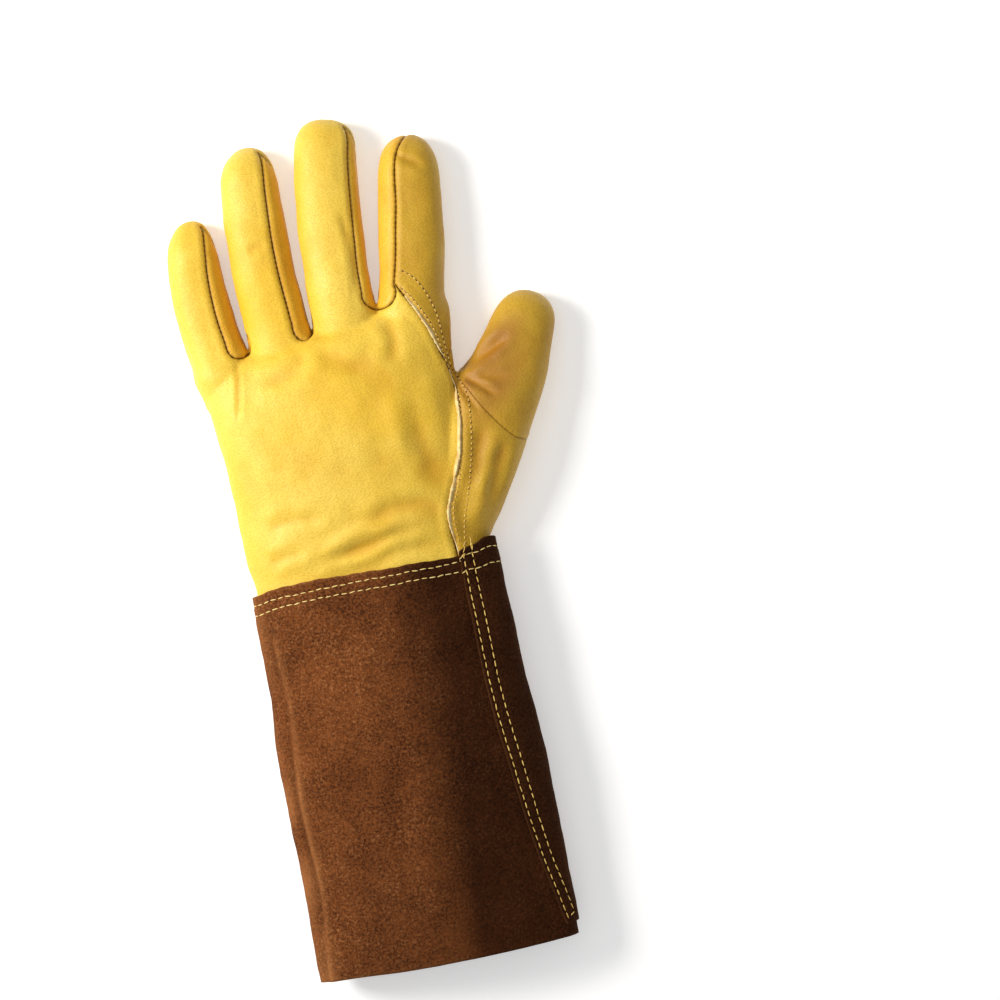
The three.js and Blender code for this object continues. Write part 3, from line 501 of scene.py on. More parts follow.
def front_field(name, points):
    finger = FINGERS[name]
    at, across, up, _ = along_finger(finger, points)
    wide = finger["width"] / 2 + SEAM_OVERLAP
    lean = FRONT_LEAN * np.clip(across / wide, -1, 1)
    above_root = (at + 0.02) * finger["length"]
    on_finger = np.minimum.reduce([wide - np.abs(across), lean - up, above_root])
    arc = np.interp(points[:, 0], front_arc[:, 0], front_arc[:, 1])
    part = points[:, 0] - MIDDLE_X - MIDDLE_LEAN * (points[:, 1] - PALM_LENGTH)
    own = -part if name == "ring" else part
    ends = np.minimum(points[:, 0] - front_arc[0, 0], front_arc[-1, 0] - points[:, 0])
    at_root = np.minimum.reduce([points[:, 1] - arc, FRONT_TOP - points[:, 2], own, ends,
                                 finger["y"] + 0.04 * finger["length"] - points[:, 1]])
    return np.maximum(on_finger, at_root)


BEYOND = [(400, 45), (400, 130), (76.7, 129.8)]
ball_outline = np.concatenate([curve_of(BALL_SEAM, 24), curve_of(EDGE_SEAM, 24)[1:], BEYOND])
root_outline = np.concatenate([curve_of(ROOT_SEAM, 32), BEYOND])


def thumb_field(points):
    plan = points[:, :2]
    blend = smooth(points[:, 2], THUMB_SIDE - SIDE_BLEND, THUMB_SIDE + SIDE_BLEND)
    return inside(ball_outline, plan) * (1 - blend) + inside(root_outline, plan) * blend


back_curve = curve_of(BACK_SEAM, 60)
ROUND_BACK = [(-400, 295), (40.1, 295), (36.6, 188.8), (26.8, 121)]
back_outline = np.concatenate([ROUND_BACK, back_curve, [(-400, -35)]])


def back_field(points):
    above = points[:, 2] - PALM_HEIGHT * along(SIDE_SEAM, "z", points[:, 1] / PALM_LENGTH)
    for name in ("ring", "middle"):
        finger = FINGERS[name]
        at, across, _, _ = along_finger(finger, points)
        half = finger["width"] / 2 + SEAM_OVERLAP
        own = np.minimum(half - np.abs(across), (at - 0.03) * finger["length"])
        above = np.maximum(above, own)
    return np.minimum(above, inside(back_outline, points[:, :2]))


WRIST_OPENING = -11.0
SMALLEST_PANEL = 290
fields = [
    *[(name, lambda p, strip=strip: strip_field(strip, p)) for name, strip in STRIPS.items()],
    ("ring_front", lambda p: front_field("ring", p)),
    ("middle_front", lambda p: front_field("middle", p)),
    ("thumb", thumb_field),
    ("back_panel", back_field),
]
skin, skin_faces = cut_along(skin, skin_faces, lambda p: p[:, 1] - WRIST_OPENING)
skin_faces = skin_faces[skin[skin_faces].mean(axis=1)[:, 1] > WRIST_OPENING]
for _, field in fields:
    skin, skin_faces = cut_along(skin, skin_faces, field)
PANELS = [name for name, _ in fields] + ["palm_panel"]
middles = skin[skin_faces].mean(axis=1)
panel_of = np.full(len(skin_faces), len(fields))
for index, (_, field) in reversed(list(enumerate(fields))):
    panel_of[field(middles) > 0] = index


def without_scraps(panel_of, faces):
    """Gives each scrap of a panel to the panel that it shares most of its edge with."""
    _, sides = edges_of(faces)
    order = np.argsort(sides.ravel(), kind="stable")
    owner = (np.arange(sides.size) // 3)[order]
    edge = sides.ravel()[order]
    pair = edge[:-1] == edge[1:]
    left, right = owner[:-1][pair], owner[1:][pair]
    group = np.arange(len(faces))
    same = panel_of[left] == panel_of[right]
    while True:
        low = np.minimum(group[left[same]], group[right[same]])
        before = group.copy()
        np.minimum.at(group, left[same], low)
        np.minimum.at(group, right[same], low)
        group = group[group]
        if (group == before).all():
            break
    size = np.bincount(group, minlength=len(faces))
    scrap = size[group] < SMALLEST_PANEL
    result = panel_of.copy()
    for g in np.unique(group[scrap]):
        touching = np.concatenate([
            panel_of[right[(group[left] == g) & (group[right] != g)]],
            panel_of[left[(group[right] == g) & (group[left] != g)]],
        ])
        if len(touching):
            result[group == g] = np.bincount(touching).argmax()
    return result


panel_of = without_scraps(panel_of, skin_faces)


def seam_edges(faces, panel_of):
    """Edges that lie between two panels."""
    edges, sides = edges_of(faces)
    low = np.full(len(edges), len(PANELS))
    high = np.full(len(edges), -1)
    for k in range(3):
        np.minimum.at(low, sides[:, k], panel_of)
        np.maximum.at(high, sides[:, k], panel_of)
    return edges[low != high]


FAR = 50.0


def away_from(points, faces, sources, reach):
    """Distance over the leather to the nearest of some edges, and which edge that is."""
    edges, _ = edges_of(faces)
    nearest = np.full(len(points), -1)
    distance = np.full(len(points), FAR)
    nearest[sources[:, 0]] = np.arange(len(sources))
    nearest[sources[:, 1]] = np.arange(len(sources))
    distance[sources.ravel()] = 0
    both = np.concatenate([edges, edges[:, ::-1]])
    for _ in range(reach):
        known = both[nearest[both[:, 0]] >= 0]
        source = nearest[known[:, 0]]
        a, b = points[sources[source, 0]], points[sources[source, 1]]
        p = points[known[:, 1]]
        step = b - a
        t = ((p - a) * step).sum(axis=1) / np.maximum((step * step).sum(axis=1), 1e-9)
        t = np.clip(t, 0, 1)
        gap = np.linalg.norm(p - a - t[:, None] * step, axis=1)
        order = np.argsort(-gap)
        target, gap, source = known[order, 1], gap[order], source[order]
        better = gap < distance[target]
        target, gap, source = target[better], gap[better], source[better]
        distance[target] = gap
        nearest[target] = source
    return distance, nearest


def finer(points, faces, chosen):
    """Halves the edges whose two ends are both chosen, so that the skin is finer there."""
    edges, sides = edges_of(faces)
    halved = chosen[edges].all(axis=1)
    finer_points = np.concatenate([points, points[edges[halved]].mean(axis=1)])
    return finer_points, *split(faces, sides, halved, len(points))


near_seam = away_from(skin, skin_faces, seam_edges(skin_faces, panel_of), 4)[0] < 2.3
skin, skin_faces, origin = finer(skin, skin_faces, near_seam)
panel_of = panel_of[origin]

# Creases and folds that handling and stuffing leave. side 1 is the back, -1 the palm side.
# depth is in millimetres, under 0 for a ridge. Places are in plan, from the wrist line.
FOLDS = rows_of(
    "path depth width side",
    ([(60, 86), (69, 92), (80, 97), (88, 100)], 1.8, 2.6, 1),
    ([(59, 86), (64, 95), (72, 103)], 1.3, 1.8, 1), ([(59, 85), (66, 80), (76, 71)], 1.3, 1.8, 1),
    ([(60, 85), (72, 82), (84, 80)], 0.7, 2.2, 1), ([(57, 84), (62, 72), (66, 64)], 0.9, 1.5, 1),
    ([(65, 62), (60, 42), (54, 26)], 1.4, 4.0, 1), ([(74, 52), (66, 34), (58, 20)], 1.3, 3.6, 1),
    ([(62, 40), (58, 26), (50, 12)], -1.0, 3.6, 1),
    ([(37, 84), (35.5, 66), (38, 48), (41, 28)], 0.65, 5.0, 1),
    ([(29, 84), (25, 66), (27, 46)], -0.5, 5.0, 1),
    ([(2, 22), (14, 28.5), (30, 28), (44, 18)], 1.0, 3.8, 1),
    ([(-26, 12), (-4, 21), (9, 20.5), (22, 12)], -0.9, 3.2, 1),
    ([(-18, 10), (2, 13.5), (15, 17), (30, 15)], 0.9, 2.8, 1),
    ([(-30, 4), (-12, 8), (10, 8.5)], -0.6, 3.0, 1), ([(0, 5), (18, 9), (38, 7)], 0.6, 3.0, 1),
    ([(-46, 30), (-32, 33), (-14, 30)], 0.7, 3.4, 1),
    ([(-48, 14), (-36, 17), (-26, 15)], 0.8, 3.2, 1),
    ([(-43, 113), (-44.5, 100), (-48, 80)], 0.6, 1.4, 1),
    ([(-40, 112), (-42, 98), (-43, 84)], 0.5, 5.0, 1),
    ([(-50, 70), (-47, 50), (-49, 34)], 0.35, 4.5, 1),
    ([(-10, 113), (-18, 102), (-36, 96)], 0.9, 4.5, 1),
    ([(-6, 112), (8, 100), (24, 98)], 0.8, 4.5, 1),
    ([(29, 120), (32, 108), (28, 94)], 0.9, 3.6, 1),
    ([(19, 176), (20.5, 158), (19.5, 140), (16, 122)], 0.55, 2.0, 1),
    ([(48, 196), (55, 191), (63, 186)], 0.9, 2.0, 1),
    ([(-28, 160), (-24, 164), (-18, 163)], 0.5, 2.4, 1),
    ([(52, 80), (34, 66), (12, 58)], 1.2, 4.0, -1), ([(50, 50), (26, 46), (0, 40)], 1.0, 4.0, -1),
    ([(48, 26), (20, 24), (-12, 22)], 0.8, 5.0, -1),
    ([(60, 78), (70, 66), (76, 52)], 1.2, 3.0, -1),
)


def swell(points, seed, scale):
    """A soft, even unevenness between about -1 and 1, from crossing waves."""
    rng = np.random.default_rng(seed)
    total = np.zeros(len(points))
    for _ in range(9):
        way = rng.normal(size=3)
        way /= np.linalg.norm(way)
        pace = 2 * np.pi / (scale * rng.uniform(0.7, 1.5))
        total += np.sin(points @ way * pace + rng.uniform(0, 6.28))
    return total / 4.2


def bell(distance, width):
    """1 at no distance, falling softly to nothing past about twice the width."""
    return np.exp(-((distance / width) ** 2))


BESIDE_FOLD = 1.8
BESIDE_SHARE = 0.4


def folded(points, normals):
    """How far the leather sinks below its plain form at each point."""
    depth = 0.4 * swell(points, 3, 44) + 0.2 * swell(points, 5, 17) + 0.07 * swell(points, 7, 7)
    for fold in FOLDS:
        path = np.array(fold["path"], float)
        fine = curve_of([tuple(p) for p in path / (HALF_PALM, PALM_LENGTH)], 16)
        near = (np.abs(points[:, :2] - path.mean(axis=0)) < 60).all(axis=1)
        facing = smooth(fold["side"] * normals[near, 2], -0.1, 0.3)
        gap, share = nearest_on(fine, points[near, :2])
        ends = smooth(share, 0.0, 0.25) * smooth(1 - share, 0.0, 0.35)
        run = gap / fold["width"]
        shape = bell(run, 1) - BESIDE_SHARE * bell(run - BESIDE_FOLD, 1)
        depth[near] += fold["depth"] * facing * ends * shape
    return depth


def rest(points):
    """Keeps points just above the floor."""
    points[..., 2] = np.maximum(points[..., 2], 0.02)


plain_skin = skin.copy()
skin_normals = normals_of(skin, skin_faces)
lifted = smooth(skin_normals[:, 2], -0.98, -0.7)
skin = skin - skin_normals * (folded(plain_skin, skin_normals) * (0.25 + 0.75 * lifted))[:, None]
rest(skin)
skin_normals = normals_of(skin, skin_faces)

# The panels are sewn with their wrong sides out, so that in the turned glove the edges of each
# seam roll in, and the thread draws them down in small puckers.
SEAM_DEPTH = 1.2
SEAM_WIDTH = 1.7
SEAM_PITCH = 2.5
RIDGE = {"height": 0.28, "away": 3.0, "width": 1.5}
PUCKER = {"depth": 0.2, "width": 1.2}
ROOT_FAINTNESS = 0.26
seam_lines = seam_edges(skin_faces, panel_of)
seam_distance, nearest_seam = away_from(skin, skin_faces, seam_lines, 16)
rolled = np.clip(1 - seam_distance / SEAM_WIDTH, 0, 1)
seam_place = plain_skin[seam_lines].mean(axis=1)
on_root = np.abs(inside(root_outline, seam_place[:, :2])) < 1.0
faint = np.where(on_root & (seam_place[:, 2] > THUMB_SIDE), ROOT_FAINTNESS, 1.0)
faint = np.where(nearest_seam >= 0, faint[nearest_seam], 1.0)
pull = 0.5 + 0.5 * np.cos(seam_place[nearest_seam, 1] * 2 * np.pi / SEAM_PITCH)
sink = SEAM_DEPTH * (1 - np.sqrt(1 - rolled**2))
sink = sink - RIDGE["height"] * bell(seam_distance - RIDGE["away"], RIDGE["width"])
sink = (sink + PUCKER["depth"] * pull * bell(seam_distance, PUCKER["width"])) * faint
skin = skin - skin_normals * sink[:, None]
rest(skin)
skin_tree = BVHTree.FromPolygons([tuple(p) for p in skin], [tuple(f) for f in skin_faces.tolist()])


def in_frame(points):
    return (np.asarray(points) + WRIST_IN_FRAME) / 1000


def finished(name, mesh, nodes=()):
    """A finished piece: it rides with the glove and stands for the named solids."""
    mesh.polygons.foreach_set("use_smooth", np.ones(len(mesh.polygons), bool))
    piece = placed(name, mesh)
    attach(piece, "root")
    if nodes:
        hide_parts(*nodes)
    return piece


def new_piece(name, points, faces, material, solid, attributes=()):
    """A piece from its mesh in the frame, its finish and the solid that it stands for."""
    mesh = plain_mesh(name, in_frame(points), faces)
    for label, values in dict(attributes).items():
        values = np.asarray(values, np.float32)
        mesh.attributes.new(label, "FLOAT", "POINT").data.foreach_set("value", values)
    mesh.materials.append(material)
    return finished(name, mesh, [solid])


def thicken(piece, thickness, offset=-1.0):
    """Gives a sheet of leather its thickness, on its inner side."""
    wall = piece.modifiers.new("thickness", "SOLIDIFY")
    wall.thickness = thickness / 1000
    wall.offset = offset
    wall.use_rim = True


# The finish of the golden leather: full grain, dyed through and lightly waxed, with fine pebbles in
# slanting rows. It is painted darker in its creases and browner on the thumb as painted shade,
# painted dark along its seams as thread shadow, and browner in a few other spots.
def fed(tree, target, given):
    """Joins a node's inputs to other nodes' outputs, or sets them to values."""
    for key, value in given.items():
        socket = target.inputs[key]
        if isinstance(value, bpy.types.NodeSocket):
            tree.links.new(value, socket)
        else:
            plain = socket.type == "RGBA" and len(value) == 3
            socket.default_value = (*value, 1) if plain else value


def node(tree, kind, given, **settings):
    """The outputs of a new node with these inputs and settings."""
    new = tree.nodes.new(kind)
    for key, value in settings.items():
        setattr(new, key, value)
    fed(tree, new, given)
    return new.outputs


def node_group(name, inputs, outputs):
    """A shader node group with named number inputs and outputs."""
    group = bpy.data.node_groups.new(name, "ShaderNodeTree")
    for label, value in inputs.items():
        given = group.interface.new_socket(label, in_out="INPUT", socket_type="NodeSocketFloat")
        given.default_value = value
    for label in outputs:
        group.interface.new_socket(label, in_out="OUTPUT", socket_type="NodeSocketFloat")
    return group, group.nodes.new("NodeGroupInput").outputs, group.nodes.new("NodeGroupOutput")


def math_node(tree, operation, first, second, clamp=False):
    given = {0: first, 1: second}
    return node(tree, "ShaderNodeMath", given, operation=operation, use_clamp=clamp)[0]


def object_place(tree):
    return node(tree, "ShaderNodeTexCoord", {})["Object"]


def noise(tree, place, scale, detail=3.0, roughness=0.55):
    given = {"Vector": place, "Scale": scale, "Detail": detail, "Roughness": roughness}
    return node(tree, "ShaderNodeTexNoise", given)["Fac"]


def mixed(tree, share, first, second, blend="MIX"):
    """A colour between two others."""
    given = {"Factor": share, 6: first, 7: second}
    return node(tree, "ShaderNodeMix", given, data_type="RGBA", blend_type=blend)[2]


def ranged(tree, value, low, high, to_low=0.0, to_high=1.0):
    given = {"Value": value, "From Min": low, "From Max": high, "To Min": to_low, "To Max": to_high}
    return node(tree, "ShaderNodeMapRange", given)["Result"]


def bumped(tree, height, strength, distance, invert=False):
    given = {"Height": height, "Strength": strength, "Distance": distance}
    return node(tree, "ShaderNodeBump", given, invert=invert)["Normal"]


def new_material(name):
    material = bpy.data.materials.new(name)
    material.use_nodes = True
    return material, material.node_tree, material.node_tree.nodes["Principled BSDF"]


def grain_group():
    """The grain of the golden leather: fine pebbles in slanting rows, and a slow mottling."""
    outputs = ("Height", "Mottle", "Pits")
    group, given, made = node_group("leather_grain", {"Pebble": 0.6, "Pore": 0.4}, outputs)
    place = object_place(group)
    slant = {"Vector": place, "Rotation": (0, 0, 0.55), "Scale": (0.62, 1.25, 1.0)}
    rows = node(group, "ShaderNodeMapping", slant)["Vector"]
    cells = node(group, "ShaderNodeTexVoronoi", {"Vector": rows, "Scale": 1350.0})["Distance"]
    pebble = math_node(group, "MULTIPLY", cells, given["Pebble"])
    pore = math_node(group, "MULTIPLY", noise(group, rows, 2000.0, 2.0, 0.6), given["Pore"])
    height = math_node(group, "ADD", pebble, pore)
    fed(group, made, {
        "Height": height,
        "Mottle": ranged(group, noise(group, place, 22.0, 4.0, 0.55), 0.34, 0.66),
        "Pits": ranged(group, height, 0.46, 0.6),
    })
    return group


LEATHER_GRAIN = grain_group()


def marked(tree, label, share=1.0):
    """A share of the value of a piece's attribute."""
    value = node(tree, "ShaderNodeAttribute", {}, attribute_name=label)["Fac"]
    return value if share == 1.0 else math_node(tree, "MULTIPLY", value, share, clamp=True)


def darker(colour, *shares):
    return tuple(part * share for part, share in zip(colour, shares))


THREAD_SHADOW = (0.13, 0.04, 0.006)


def golden_leather(name, light, deep, tan_and_painted_shade):
    """Golden grain leather: light, deeper in its pits, with painted shade in its creases and at its
    tan mark, which browns it elsewhere too.
    """
    material, tree, shader = new_material(name)
    grain = tree.nodes.new("ShaderNodeGroup")
    grain.node_tree = LEATHER_GRAIN
    fed(tree, grain, {"Pebble": 0.6, "Pore": 0.4})
    grain = grain.outputs
    base = mixed(tree, grain["Mottle"], light, deep)
    # Painted shade and browner tone from the tan mark.
    base = mixed(tree, marked(tree, "tan_and_painted_shade"), base, tan_and_painted_shade)
    # Painted shade in the creases.
    base = mixed(tree, marked(tree, "painted_crease_shade", 0.6), base, darker(deep, 0.8, 0.64, 0.4))
    pits = math_node(tree, "MULTIPLY", grain["Pits"], 0.27)
    base = mixed(tree, pits, base, darker(deep, 0.62, 0.52, 0.4))
    # Painted thread shadow along the seams.
    base = mixed(tree, marked(tree, "seam", 0.9), base, THREAD_SHADOW)
    fed(tree, shader, {
        "Base Color": base,
        "Roughness": ranged(tree, grain["Mottle"], 0.0, 1.0, 0.42, 0.58),
        "Specular IOR Level": 0.42,
        "Normal": bumped(tree, grain["Height"], 0.6, 0.0004, invert=True),
    })
    return material


GOLD = golden_leather(
    "golden_leather", (0.91, 0.64, 0.085), (0.85, 0.53, 0.032), (0.52, 0.25, 0.015))
# The next two copies, for the strips between the fingers and for the palm panel and thumb, are
# deeper and more orange: painted shade, as these panels lie more in shade than the back.
GOLD_STRIP_PAINTED_SHADE = golden_leather(
    "golden_strip_painted_shade", (0.88, 0.55, 0.045), (0.8, 0.42, 0.02), (0.6, 0.24, 0.02))
GOLD_PALM_PAINTED_SHADE = golden_leather(
    "golden_palm_painted_shade", (0.7, 0.43, 0.03), (0.6, 0.33, 0.014), (0.36, 0.135, 0.016))
# The first three spots, on the thumb by its crotch, are painted shade; the others are simply
# painted browner.
# Where the leather is painted browner. x, y: middle. long, wide: half sizes. turn: degrees from +X.
TAN_AND_PAINTED_SHADE_SPOTS = rows_of(
    "x y long wide turn share",
    (79, 96, 18, 7, 38, 0.9), (77, 77, 20, 9, 40, 0.75), (62, 80, 8, 5, 40, 0.5),
    (24, 22, 22, 7, 8, 0.22), (36, 50, 20, 6, 95, 0.15),
)
# A faint random browner tone, with painted shade in the spots on the thumb.
tan_and_painted_shade_mask = 0.07 * np.clip(swell(plain_skin, 9, 40), 0, 1)
for spot in TAN_AND_PAINTED_SHADE_SPOTS:
    turn = math.radians(spot["turn"])
    east, north = plain_skin[:, 0] - spot["x"], plain_skin[:, 1] - spot["y"]
    ahead = (east * math.cos(turn) + north * math.sin(turn)) / spot["long"]
    beside = (north * math.cos(turn) - east * math.sin(turn)) / spot["wide"]
    seen = skin_normals[:, 2] > -0.2
    tan_and_painted_shade_mask += spot["share"] * np.exp(-(ahead**2 + beside**2)) * seen
tan_and_painted_shade_mask = np.clip(tan_and_painted_shade_mask, 0, 0.9)
# Painted shade: the leather is painted darker where it sinks into its folds and creases.
painted_crease_shade_mask = np.clip(folded(plain_skin, skin_normals) / 1.2, 0, 1)
# Painted thread shadow: dark along each seam, in dashes where the thread pulls, fainter on the
# thumb's root seam.
seam_shadow_mask = bell(seam_distance, 0.7) * faint**0.7 * (0.55 + 0.45 * pull)
# The palm panel, the thumb and the strips between the fingers take the copies with painted shade.
LEATHER_OF = {"palm_panel": GOLD_PALM_PAINTED_SHADE, "thumb": GOLD_PALM_PAINTED_SHADE, **{name: GOLD_STRIP_PAINTED_SHADE for name in STRIPS}}


def parted(points, faces):
    """Only the points that some faces use, with the faces numbered to match."""
    used, local = np.unique(faces, return_inverse=True)
    return used, points[used], local.reshape(-1, 3)


for index, name in enumerate(PANELS):
    used, points, faces = parted(skin, skin_faces[panel_of == index])
    marks = {"seam": seam_shadow_mask[used], "painted_crease_shade": painted_crease_shade_mask[used], "tan_and_painted_shade": tan_and_painted_shade_mask[used]}
    piece = new_piece(name + "_leather", points, faces, LEATHER_OF.get(name, GOLD),
                      name, marks)
    thicken(piece, GRAIN_WALL)

# The welts: strips of pale leather caught in two seams, their raw edges standing a little proud.
# One runs down the back from the index finger, the other under the ring and middle fingers.
# at: share of the strip's length. wide: how much of it shows, lean: which way it is pushed over.
BACK_WELT = rows_of(
    "at wide proud lean",
    (0.0, 0.4, 0.0, 0.0), (0.06, 0.8, 0.5, 0.2), (0.14, 1.1, 0.7, 0.3), (0.21, 0.7, 0.2, 0.2),
    (0.25, 0.4, -0.9, 0.0), (0.29, 0.4, -0.9, 0.0), (0.325, 1.0, 0.6, 0.7), (0.35, 0.7, 0.2, -0.2),
    (0.4, 0.9, 0.5, 0.2), (0.47, 1.5, 0.7, 0.4), (0.6, 1.6, 0.8, 0.5), (0.73, 1.5, 0.6, 0.3),
    (0.8, 1.3, 0.5, 0.1), (0.87, 0.8, 0.1, -0.1), (0.91, 0.5, -0.5, 0.0), (1.0, 0.5, -0.3, 0.0),
)
PALM_WELT = rows_of(
    "at wide proud lean",
    (0.0, 1.1, 0.0, 0.0), (0.2, 1.6, 0.6, 0.1), (0.5, 1.8, 0.7, -0.1), (0.8, 1.5, 0.6, 0.1),
    (1.0, 1.0, 0.0, 0.0),
)


def onto_skin(plan, side, tree=skin_tree):
    """Points in plan dropped onto the leather, from above (side 1) or below (side -1)."""
    landed, normals = [], []
    for x, y in plan:
        hit, normal, _, _ = tree.ray_cast((x, y, 100 * side), (0, 0, -side))
        if hit is None:
            continue
        landed.append(hit)
        normals.append(normal if normal.z * side > 0 else -normal)
    return np.array(landed), np.array(normals)


def evenly(path, step):
    """The same path with points at even steps along it."""
    lengths = np.linalg.norm(np.diff(path, axis=0), axis=1)
    passed = np.concatenate([[0], np.cumsum(lengths)])
    count = max(int(round(passed[-1] / step)), 2)
    stops = np.linspace(0, passed[-1], count + 1)
    return np.stack([np.interp(stops, passed, path[:, k]) for k in range(path.shape[1])], axis=1)


def drawn_even(points):
    """Softens the run of points along a path, without moving its ends."""
    for _ in range(3):
        points[1:-1] = (points[:-2] + 2 * points[1:-1] + points[2:]) / 4


WELT_PROFILE = [(-1.0, -1.9), (-1.0, -0.25), (-0.8, 0.0), (0.0, 0.08), (0.8, 0.0), (1.0, -0.25),
                (1.0, -1.9)]
WELT_RISE = 0.9
NOTCH_SHARE = 0.12
NOTCH_DEPTH = 0.45


def welt_strip(plan, side, table, seed):
    """A raw-edged strip along a seam, as points and faces."""
    points, normals = onto_skin(evenly(plan, 0.8), side)
    points = points + (0, 0, side * WELT_RISE)
    drawn_even(points)
    drawn_even(normals)
    normals /= np.linalg.norm(normals, axis=1)[:, None]
    ahead = np.gradient(points, axis=0)
    ahead /= np.linalg.norm(ahead, axis=1)[:, None]
    across = np.cross(ahead, normals)
    share = np.linspace(0, 1, len(points))
    rng = np.random.default_rng(seed)
    ragged = np.convolve(rng.normal(size=len(points) + 4), np.ones(5) / 5, mode="valid")
    notch = np.where(rng.random(len(points)) < NOTCH_SHARE, NOTCH_DEPTH, 0.0)
    half = along(table, "wide", share) / 2 * (1 + 0.35 * ragged - notch)
    proud = along(table, "proud", share) + 0.25 * ragged[::-1] - 0.5 * notch
    lean = along(table, "lean", share) + 0.25 * ragged
    rows = []
    for across_share, up in WELT_PROFILE:
        height = proud + up
        shift = half * across_share + lean * np.clip((height + 1.4) / 2, 0, 1)
        rows.append(points + across * shift[:, None] + normals * height[:, None])
    grid = np.array(rows)
    wide, long = grid.shape[:2]
    faces = []
    for i in range(0, wide * long, long):
        j = (i + long) % (wide * long)
        faces += [(i + k, i + k + 1, j + k + 1, j + k) for k in range(long - 1)]
    faces.append([i * long for i in range(wide)])
    faces.append([i * long + long - 1 for i in range(wide)][::-1])
    return grid.reshape(-1, 3), faces


def outward(piece):
    """Turns all faces of a closed piece outwards."""
    form = bmesh.new()
    form.from_mesh(piece.data)
    bmesh.ops.recalc_face_normals(form, faces=form.faces)
    form.to_mesh(piece.data)
    form.free()


def raw_edge_leather():
    """Pale leather seen on its cut edge: fibrous, dull and unevenly soiled."""
    material, tree, shader = new_material("pale_leather")
    place = object_place(tree)
    soil = ranged(tree, noise(tree, place, 240.0, 4.0), 0.42, 0.72)
    fed(tree, shader, {
        "Base Color": mixed(tree, soil, (0.84, 0.66, 0.3), (0.58, 0.34, 0.09)),
        "Roughness": 0.8,
        "Normal": bumped(tree, noise(tree, place, 1500.0), 0.5, 0.0004),
    })
    return material


PALE = raw_edge_leather()
back_path = back_curve[(back_curve[:, 1] < 127.5) & (back_curve[:, 1] > -10)]
for name, path, side, table, seed in (("back_welt", back_path, 1, BACK_WELT, 11),
                                      ("palm_welt", front_arc[2:-2], -1, PALM_WELT, 12)):
    points, faces = welt_strip(path, side, table, seed)
    rest(points)
    outward(new_piece(name + "_strip", points, faces, PALE, name))

# The knuckle patch: brown suede over the knuckle side of the palm, wrapped round the side of the
# hand at the little finger and stitched down near its edge.
PATCH_OUTLINE = [
    (-0.95, 0.885), (-0.3, 0.89), (0.3, 0.895), (0.72, 0.88), (0.88, 0.83), (0.93, 0.74),
    (0.9, 0.65), (0.78, 0.59), (0.3, 0.555), (-0.3, 0.535), (-0.95, 0.515), (-0.99, 0.7),
]
PATCH_WALL = 1.3
PATCH_LIFT = 0.25
PATCH_SIDE_HEIGHT = 8.0
patch_edge = curve_of(PATCH_OUTLINE + PATCH_OUTLINE[:1], 90)[:-1]
wrapped_edge = np.where(patch_edge[:, :1] < -50, patch_edge + (-20, 0), patch_edge)


def patch_field(points):
    within = inside(wrapped_edge, points[:, :2])
    side_height = PATCH_SIDE_HEIGHT + 0.6 * np.sin(points[:, 1] / 4)
    return np.minimum(within, side_height - points[:, 2])


# Suede is napped: its tone wanders with the lie of the nap, and its cut edges are paler.
def nap_group():
    outputs = ("Height", "Tone", "Dust")
    group, given, made = node_group("suede_nap", {"Fibre": 1.0, "Drift": 1.0}, outputs)
    place = object_place(group)

    def patches(scale, detail, roughness, low, high, to_low=0.0):
        return ranged(group, noise(group, place, scale, detail, roughness), low, high, to_low)

    def product(first, second):
        return math_node(group, "MULTIPLY", first, second)

    def total(first, second):
        return math_node(group, "ADD", first, second)

    fibre = product(noise(group, place, 1500.0, 4.0, 0.7), given["Fibre"])
    tuft = product(noise(group, place, 420.0, 4.0, 0.65), 0.8)
    slow = product(product(patches(17.0, 5.0, 0.62, 0.35, 0.65), 0.26), given["Drift"])
    fleck = product(patches(880.0, 4.0, 0.8, 0.42, 0.58), 0.55)
    smear = product(patches(75.0, 4.0, 0.6, 0.35, 0.68), 0.2)
    dust = product(patches(760.0, 3.0, 0.7, 0.53, 0.66), patches(32.0, 4.0, 0.6, 0.4, 0.62, 0.25))
    fed(group, made, {
        "Height": total(fibre, tuft),
        "Tone": total(total(slow, fleck), smear),
        "Dust": dust,
    })
    return group


SUEDE_NAP = nap_group()


def brown_suede(name, dark, light, worn):
    """Brown suede: dark and light by the lie of the nap, worn where it is rubbed, and darkened by
    its painted shade mark.
    """
    material, tree, shader = new_material(name)
    nap = tree.nodes.new("ShaderNodeGroup")
    nap.node_tree = SUEDE_NAP
    nap = nap.outputs
    base = mixed(tree, nap["Tone"], dark, light)
    dust = math_node(tree, "MULTIPLY", nap["Dust"], 0.6)
    base = mixed(tree, dust, base, (0.45, 0.19, 0.07))
    base = mixed(tree, marked(tree, "rubbed", 0.7), base, worn)
    # The painted shade mark multiplies the colour down.
    fed(tree, shader, {
        "Base Color": mixed(tree, marked(tree, "painted_shade"), base, (0.16, 0.14, 0.14), "MULTIPLY"),
        "Roughness": 0.95,
        "Specular IOR Level": 0.06,
        "Sheen Weight": 0.08,
        "Sheen Roughness": 0.5,
        "Sheen Tint": (0.7, 0.33, 0.12),
        "Normal": bumped(tree, nap["Height"], 0.7, 0.0006),
    })
    return material


